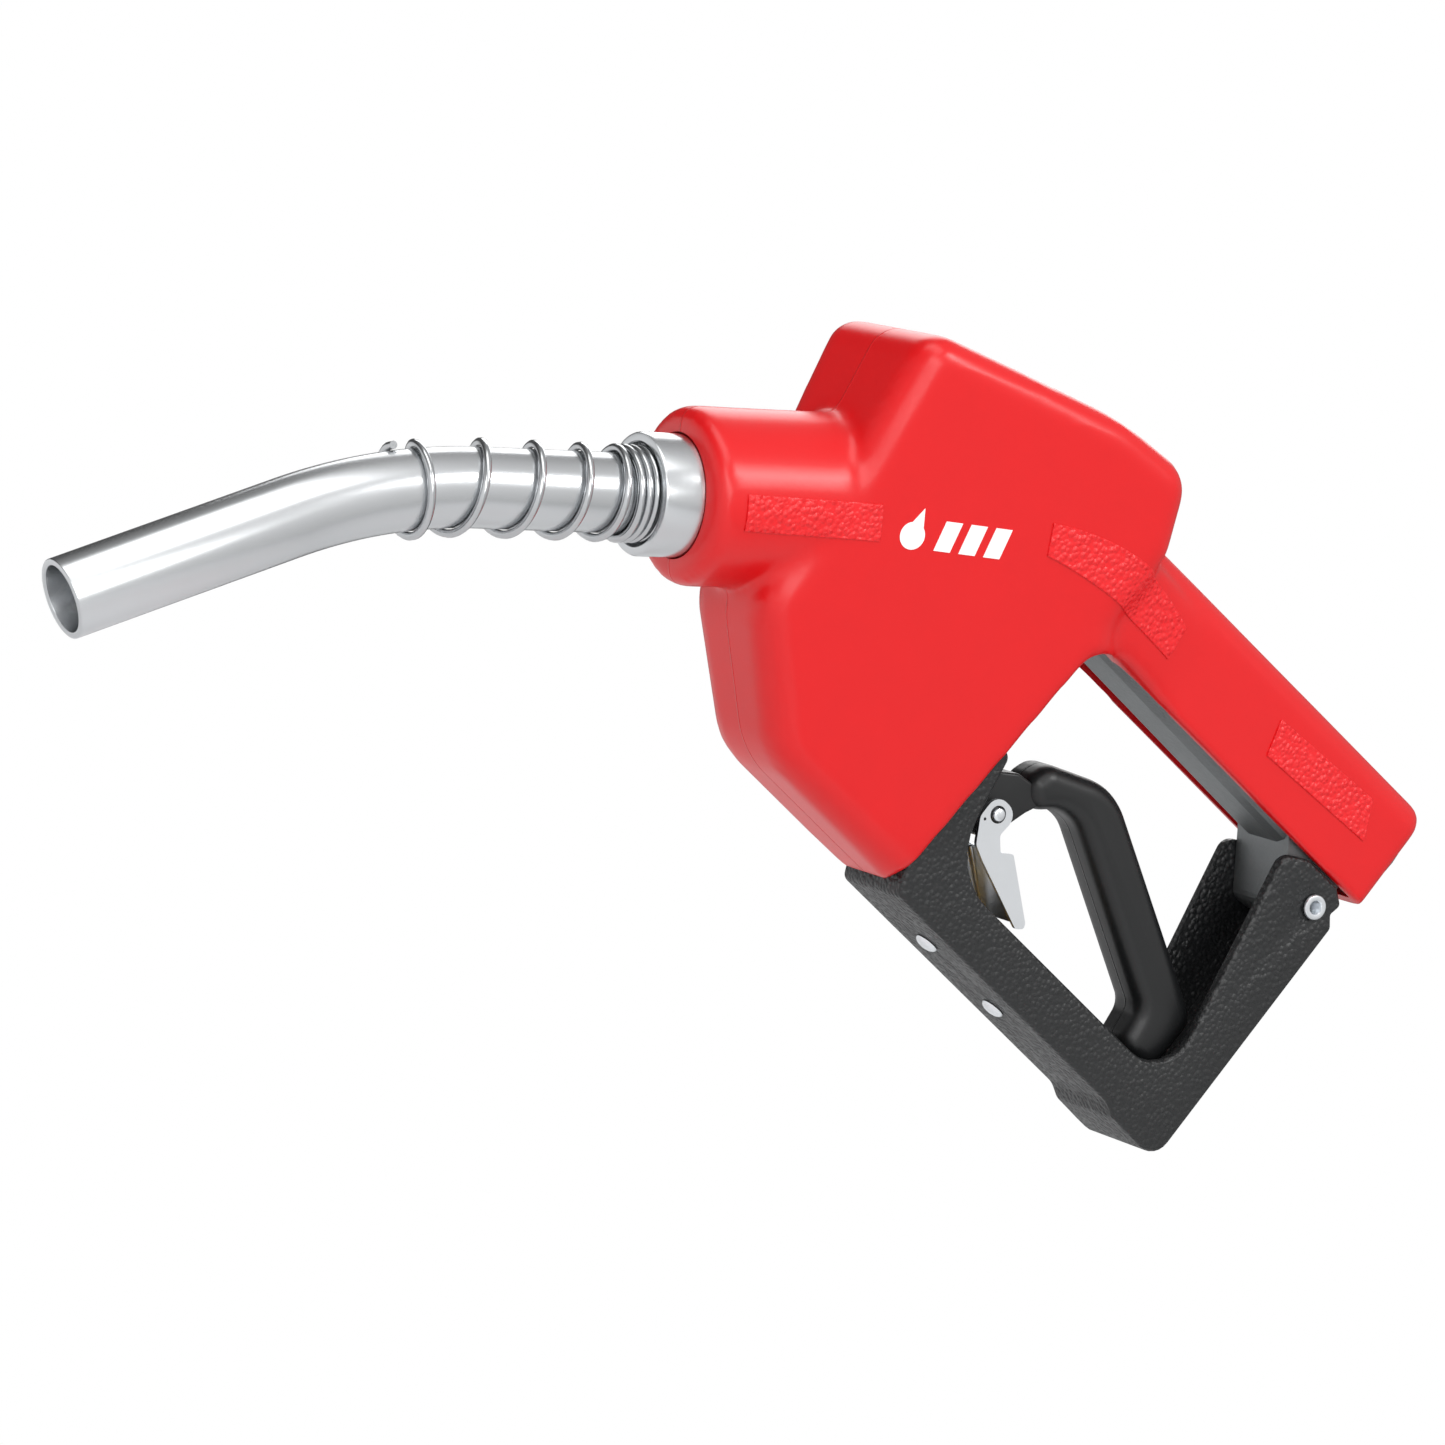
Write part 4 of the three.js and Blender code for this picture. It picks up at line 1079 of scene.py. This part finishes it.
@dataclass
class Lever:
    """The squeeze lever with its hold-open latch and the latch's pin."""

    half: float = 9.5
    fork_half: float = 7.0
    round: float = 5.5
    bar: tuple[Corner, ...] = (
        (-120.6, -64.2, 5.8), (-112.6, -70.4, 5.8), (-106, -64.8, 8), (-98.5, -61.3, 14), (-37.5, -90, 6),
        (-35.5, -104, 6.5), (-19.5, -104, 7), (-18.3, -80.4, 8), (-93, -45.6, 22), (-117.5, -55.5, 7),
    )
    arm: tuple[Corner, ...] = (
        (-221.5, -84.4, 5.5), (-221.5, -95.6, 5.5), (-196.5, -96.5, 6), (-127.5, -88.5, 6),
        (-118.5, -86.5, 5), (-113.5, -72, 3), (-108.5, -62, 3), (-124, -64.5, 3), (-128.5, -67.5, 3),
        (-146.5, -76, 6), (-166, -80), (-167.5, -76.6, 2), (-170.5, -75.5, 2.6), (-173.5, -76.6, 2),
        (-175, -80), (-196.5, -82), (-205, -82), (-207.2, -84.4),
    )
    cheek: tuple[Corner, ...] = (
        (-128.8, -75.2, 4.4), (-128.8, -84, 4), (-123.8, -91.4, 3), (-118.5, -93.6, 4), (-94.3, -101.5, 1.5),
        (-91.9, -99.6, 1), (-92.8, -97.9, 1), (-111.1, -85.2, 1), (-115.1, -87.8, 1), (-119.1, -84, 2),
        (-118.3, -75.2, 4.4),
    )
    latch_half: float = 12.0
    sheet: float = 1.4

    def build(self) -> None:
        """Builds the lever, the latch and the latch's pin."""
        self.lever()
        self.latch()
        self.latch_pin()

    def lever(self) -> None:
        """Makes the rounded hand bar and the narrow front arm, and joins them."""
        bar = Workpiece.pillow("lever_forged", self.bar, self.half, self.round, 10, 6)
        arm = Workpiece.pillow("arm", self.arm, self.fork_half, 1.0, 5, 3)
        hinges = (("lever_squeeze", 2.6), ("hold_open", 2.3))
        holes = [Workpiece.rod(radius, 20, on_hinge(joint)) for joint, radius in hinges]
        bar.combine("UNION", arm).combine("DIFFERENCE", *holes)
        bar.hand_in("black_coated_steel", ["lever"], crease=40, body="hand_lever")

    def latch(self) -> None:
        """Folds the latch from sheet: two cheeks and the web between their tails."""
        inner = self.latch_half - self.sheet
        near = Workpiece.prism("hold_open_latch_pressed", self.cheek, -self.latch_half, -inner)
        far = Workpiece.prism("far", self.cheek, inner, self.latch_half)
        web_corners = [(-111.5, -85.5, 0.6), (-112.5, -86.8, 0.6), (-93.9, -99.8, 0.6), (-92.5, -98.1, 0.6)]
        web = Workpiece.prism("web", web_corners, -self.latch_half, self.latch_half, 4)
        hole = Workpiece.rod(2.8, 20, on_hinge("hold_open"))
        small = Workpiece.rod(0.5, 20, lying(Vector((-126.9, 0, -83.7)), "Y"), 12)
        near.combine("UNION", far, web, *(self.curl(side) for side in SIDES))
        near.combine("DIFFERENCE", hole, small)
        near.ease(0.2, 2, 40)
        near.hand_in("zinc_steel", ["hold_open_latch"], body="latch")

    def curl(self, side: int) -> Workpiece:
        """Makes the rounded bend between a cheek and the web.

        Args:
            side: -1 for the near cheek and 1 for the far one.

        Returns:
            The bend as a rod.
        """
        start, end, radius = Vector((-112.2, -86.5)), Vector((-93.2, -99.1)), 1.5
        along = end - start
        length = along.length
        profile = [
            (0, 0), (radius - 0.5, 0), (radius, 0.5),
            (radius, length - 0.5), (radius - 0.5, length), (0, length),
        ]
        place = Vector((start.x, side * (self.latch_half - radius), start.y)) * MM
        turn = Vector((along.x, 0, along.y)).to_track_quat("Z", "Y").to_matrix().to_4x4()
        return Workpiece.turned("curl", profile, Matrix.Translation(place) @ turn, 24)

    def latch_pin(self) -> None:
        """Turns the latch's pin with a riveted head at each end."""
        profile = [
            (0, -13.3), (1.2, -13.3), (1.9, -12.95), (2.05, -12.4), (2.05, 12.4), (3.2, 12.4), (3.4, 12.6),
            (3.2, 13.0), (1.6, 13.3), (0, 13.3),
        ]
        pin = Workpiece.turned("latch_pin_turned", profile, on_hinge("hold_open"), 32)
        pin.hand_in("zinc_steel", ["latch_pivot_pin"], body="hand_lever")


# ---- guard


@dataclass
class Guard:
    """The black channel under the lever, with its rivets."""

    half: float = 17.0
    wall: float = 3.2
    bottom: float = -121.0
    foot: float = -123.6
    rear: float = -5.0
    tucked: float = -113.0
    flare: float = 0.07
    rack_rivets: tuple[str, ...] = ("rack_rivet_front", "rack_rivet_rear")
    rear_rivet_at: Corner = (-15.7, 0, -29.7)

    def build(self) -> None:
        """Builds the guard and its rivets."""
        self.channel()
        for name in self.rack_rivets:
            self.rack_rivet(name)
        self.rear_rivet()

    def flared(self, co: Vector) -> Vector:
        """Spreads the walls slightly towards the ears.

        Args:
            co: A point, metres.

        Returns:
            Its new place.
        """
        return Vector((co.x, co.y * (1 + self.flare * share(co.z / MM, -104, 84)), co.z))

    def channel(self) -> None:
        """Makes the guard's block, hollows it and rounds its edges."""
        outside = [
            (-194.5, -52, 6), (-194.5, self.tucked, 4), (-141.7, self.tucked, 2), (-137.5, self.bottom, 3),
            (-32, self.bottom, 8), (-27, self.foot + 0.3, 5), (-16, self.foot, 6), (self.rear, self.foot, 7),
            (self.rear, -30.5, 2.5), (-8.2, -27.2, 1), (-7.2, -22.8, 2), (-12.5, -19.6, 3), (-27, -19.8, 7),
            (-36, -24.5, 5), (-18.5, -104, 14), (-128, -104, 22), (-136, -66, 3), (-176.5, -52, 6),
        ]
        floor, tucked, rear = self.bottom + self.wall, self.tucked + self.wall, self.rear - self.wall
        inside = [
            (-226.5, 10), (-226.5, tucked), (-139.7, tucked, 2),
            (-135.5, floor, 3), (rear, floor, 6), (rear, 10),
        ]
        guard = Workpiece.pillow("lever_guard_moulded", outside, self.half, 1.5, 6, 4)
        guard.modifier("TRIANGULATE")
        guard.shift(self.flared)
        room = Workpiece.prism("room", inside, self.wall - self.half, self.half - self.wall, 5)
        room.shift(self.flared)
        across_holes = ((self.rear_rivet_at, 3.2), ((-186.5, 0, -60), 2.8))
        holes = [Workpiece.rod(radius, 22, lying(Vector(at), "Y")) for at, radius in across_holes]
        for name in self.rack_rivets:
            low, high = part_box(name)
            centre = (low + high) / 2 / MM
            place = Matrix.Translation(Vector((centre.x, 0, self.bottom)) * MM)
            holes.append(Workpiece.rod(2.3, 8, place, 24))
        guard.combine("DIFFERENCE", room, *holes)
        guard.ease(0.4, 2)
        guard.hand_in("black_plastic", ["lever_guard"], crease=40)

    def rack_rivet(self, name: str) -> None:
        """Turns a domed rivet that holds the rack to the guard's floor.

        Args:
            name: The CAD node that it replaces.
        """
        low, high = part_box(name)
        centre = (low + high) / 2 / MM
        top, bottom = high.z / MM, low.z / MM
        profile = [(0, bottom)]
        profile += [(3.85 * math.sin(a), bottom + 1.7 * (1 - math.cos(a))) for a in (0.35, 0.7, 1.05, 1.35)]
        under, neck = self.bottom - 0.3, top - 0.9
        profile += [(3.85, under), (2, under), (2, neck), (3.2, neck), (3.2, top), (0, top)]
        rivet = Workpiece.turned(f"{name}_domed", profile, Matrix.Translation((centre.x * MM, 0, 0)), 40)
        rivet.hand_in("zinc_steel", [name])

    def rear_rivet(self) -> None:
        """Turns the hollow rivet through the guard's ears, with rolled rims."""
        reach = 18.6
        rim = [(2.0, 0.25), (2.35, 0.8), (3.1, 1.0), (3.8, 0.75), (4.1, 0.3), (4.1, 0)]
        profile = [(r, reach + h) for r, h in rim] + [(2.9, reach)] + [(2.9, -reach)]
        profile += [(r, -reach - h) for r, h in reversed(rim)]
        place = lying(Vector(self.rear_rivet_at), "Y")
        rivet = Workpiece.turned("guard_rear_rivet_rolled", profile, place, 48)
        rivet.hand_in("zinc_steel", ["guard_rear_rivet"])


# ---- casting and inner works


@dataclass
class Inlet:
    """The threaded sleeve inside the casting's inlet."""

    core: float = 11.7
    outer: float = 12.05
    pitch: float = 1.814
    depth: float = 21.5

    def build(self) -> None:
        """Turns the sleeve with one groove for each pitch of the thread."""
        profile = [(self.outer, -1.7), (self.outer, -self.depth)]
        root = self.core - 0.9
        for k in range(int((self.depth - 3) / self.pitch)):
            z = k * self.pitch - self.depth
            profile += [(root, z), (root, z + 0.35), (self.core, z + 0.9), (self.core, z + 1.3)]
        profile += [(self.core - 0.6, -2.2), (self.core - 0.1, -1.7)]
        sleeve = Workpiece.turned("inlet_thread_cut", profile, lying(Vector(), "X"), 64)
        sleeve.hand_in("cast_aluminium", finish=TURNED_ALUMINIUM)


@dataclass
class WorkingSprings:
    """The coil springs inside, which shorten in the nozzle as their joints move; here each is a still copy of its
    CAD node.
    """

    names: tuple[str, ...] = ("plunger_spring", "main_spring", "check_spring", "diaphragm_spring")

    def build(self) -> None:
        """Copies each spring that a joint deforms."""
        slots = {subpart["node"]: subpart["material_slot"] for subpart in frame["record"]["subparts"]}
        for joint in frame["record"]["behaviour"]["joints"]:
            for entry in joint.get("deforming_nodes", []):
                if entry["node"] in self.names:
                    self.spring(entry["node"], joint, entry["fixed_end_z_m"], slots[entry["node"]])

    def spring(self, node: str, joint: dict, fixed: float, slot: str) -> None:
        """Copies one spring, merges its doubled vertices and dresses it in place of its CAD node.

        Args:
            node: The CAD node.
            joint: The joint's row in the record. Not used.
            fixed: Height of the end that stays, metres. Not used.
            slot: Its material slot.
        """
        copy = bpy.data.objects.new(f"{node}_wound", NODES[node].data.copy())
        bpy.context.collection.objects.link(copy)
        piece = Workpiece(copy, f"{node}_wound")
        with piece.editing():
            bpy.ops.mesh.remove_doubles(threshold=1e-6)
        piece.hand_in(slot, [node], crease=60)
        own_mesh(copy)


def dress_cad_nodes() -> None:
    """Gives each CAD node that still shows the finish of its slot."""
    for subpart in frame["record"]["subparts"]:
        node = NODES[subpart["node"]]
        if node.hide_render:
            continue
        node.data.materials.clear()
        node.data.materials.append(SLOT_FINISHES[subpart["material_slot"]].material())
        log.info("%s: dressed as %s", node.name, subpart["material_slot"])


# ---- studio


@dataclass
class Studio:
    """Camera, lights, floor and surroundings."""

    azimuth: float = -28.6507
    elevation: float = -12.3116
    roll: float = 38.0742
    distance: float = 1.90154
    aim: tuple[float, float, float] = (-0.212614, 0.0, -0.117161)
    lens: float = 158.725
    sensor: float = 36.0
    floor_below: float = 0.012
    floor_size: float = 14.0
    lights_away: float = 1.5

    def back(self, azimuth: float, elevation: float) -> Vector:
        """Gives the direction from the object to a viewer.

        Args:
            azimuth: Degrees; 0 looks along +Y and 90 along -X.
            elevation: Degrees above the horizon.

        Returns:
            A unit vector.
        """
        a, e = math.radians(azimuth), math.radians(elevation)
        return Vector((math.sin(a) * math.cos(e), -math.cos(a) * math.cos(e), math.sin(e)))

    def build(self) -> None:
        """Sets up the camera, the floor, the lights and the surroundings."""
        self.camera()
        self.floor()
        self.lights()
        self.world()
        bpy.context.scene.view_settings.view_transform = "Standard"

    def pose(self) -> Matrix:
        """Gives the camera's place and rotation."""
        back = self.back(self.azimuth, self.elevation)
        turn = (-back).to_track_quat("-Z", "Y").to_matrix().to_4x4()
        roll = Matrix.Rotation(math.radians(self.roll), 4, "Z")
        return Matrix.Translation(Vector(self.aim) + back * self.distance) @ turn @ roll

    def camera(self) -> None:
        """Adds the camera."""
        data = bpy.data.cameras.new("camera")
        data.lens = self.lens
        data.sensor_width = self.sensor
        data.sensor_fit = "HORIZONTAL"
        data.clip_start, data.clip_end = 0.05, 50.0
        camera = bpy.data.objects.new("camera", data)
        camera.matrix_world = self.pose()
        bpy.context.scene.collection.objects.link(camera)
        bpy.context.scene.camera = camera

    def floor(self) -> None:
        """Adds a pale floor just under the object. Seen from beneath, it lets the view through."""
        low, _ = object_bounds()
        bpy.ops.object.select_all(action="DESELECT")
        bpy.ops.mesh.primitive_plane_add(size=self.floor_size, location=(-0.2, 0, low.z - self.floor_below))
        floor = bpy.context.object
        floor.name = "floor"
        made = bpy.data.materials.new("studio_paper_pale")
        made.use_nodes = True
        tree = made.node_tree
        shader = tree.nodes["Principled BSDF"]
        shader.inputs["Base Color"].default_value = linear("EDEEEF")
        shader.inputs["Roughness"].default_value = 0.9
        clear = add_node(tree, "BsdfTransparent")
        side = add_node(tree, "NewGeometry").outputs["Backfacing"]
        mix = add_node(tree, "MixShader", {}, {"Fac": side})
        tree.links.new(shader.outputs["BSDF"], mix.inputs[1])
        tree.links.new(clear.outputs["BSDF"], mix.inputs[2])
        tree.links.new(mix.outputs[0], tree.nodes["Material Output"].inputs["Surface"])
        floor.data.materials.append(made)
        floor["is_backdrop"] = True

    def softbox(self, name: str, right: float, up: float, size: tuple[float, float], power: float) -> None:
        """Adds a softbox placed as the viewer sees it.

        Args:
            name: The light's name.
            right: Degrees to the right of the viewer.
            up: Degrees above the viewer.
            size: Width and height, metres.
            power: Watts.
        """
        view = self.pose().to_3x3()
        a, e = math.radians(right), math.radians(up)
        direction = view @ Vector((math.sin(a) * math.cos(e), math.sin(e), math.cos(a) * math.cos(e)))
        data = bpy.data.lights.new(name, "AREA")
        data.shape = "RECTANGLE"
        data.size, data.size_y = size
        data.energy = power
        light = bpy.data.objects.new(name, data)
        turn = (-direction).to_track_quat("-Z", "Y").to_matrix().to_4x4()
        light.matrix_world = Matrix.Translation(Vector(self.aim) + direction * self.lights_away) @ turn
        bpy.context.scene.collection.objects.link(light)

    def lights(self) -> None:
        """Adds the softboxes: one in front, one overhead, a small bright one at the right and one behind."""
        self.softbox("front_softbox", 14, 16, (1.3, 0.45), 6.5)
        self.softbox("overhead_softbox", 10, 66, (1.5, 0.7), 7)
        self.softbox("right_strip", 63, 24, (0.55, 0.3), 6)
        self.softbox("back_softbox", 170, 35, (1.2, 0.8), 7)

    def world(self) -> None:
        """Surrounds the object with white, dimmer behind and to the left."""
        world = bpy.data.worlds.new("studio")
        bpy.context.scene.world = world
        world.use_nodes = True
        tree = world.node_tree
        view = self.pose().to_3x3()
        direction = add_node(tree, "TexCoord").outputs["Generated"]
        towards = view @ Vector((0.75, 0.3, 0.6)).normalized()
        dot = add_node(tree, "VectorMath", {"operation": "DOT_PRODUCT"}, {"Vector": direction})
        dot.inputs[1].default_value = towards
        brightness = {"From Min": -0.45, "From Max": 0.9, "To Min": 0.10, "To Max": 0.80}
        ramp = add_node(tree, "MapRange", brightness, {"Value": dot.outputs["Value"]})
        seen = add_node(tree, "LightPath").outputs["Is Camera Ray"]
        level = add_node(tree, "Mix", {"B": 1.0}, {"Factor": seen, "A": ramp.outputs["Result"]})
        tree.links.new(level.outputs["Result"], tree.nodes["Background"].inputs["Strength"])
        tree.nodes["Background"].inputs["Color"].default_value = (1, 1, 1, 1)


def main() -> None:
    """Builds the studio and the nozzle's pieces in order."""
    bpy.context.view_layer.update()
    studio = Studio()
    studio.build()
    for assembly in (Outlet(), Cover(), Lever(), Guard(), Inlet(), WorkingSprings()):
        log.info("building %s", type(assembly).__name__)
        assembly.build()
    dress_cad_nodes()


if __name__ == "__main__":
    main()
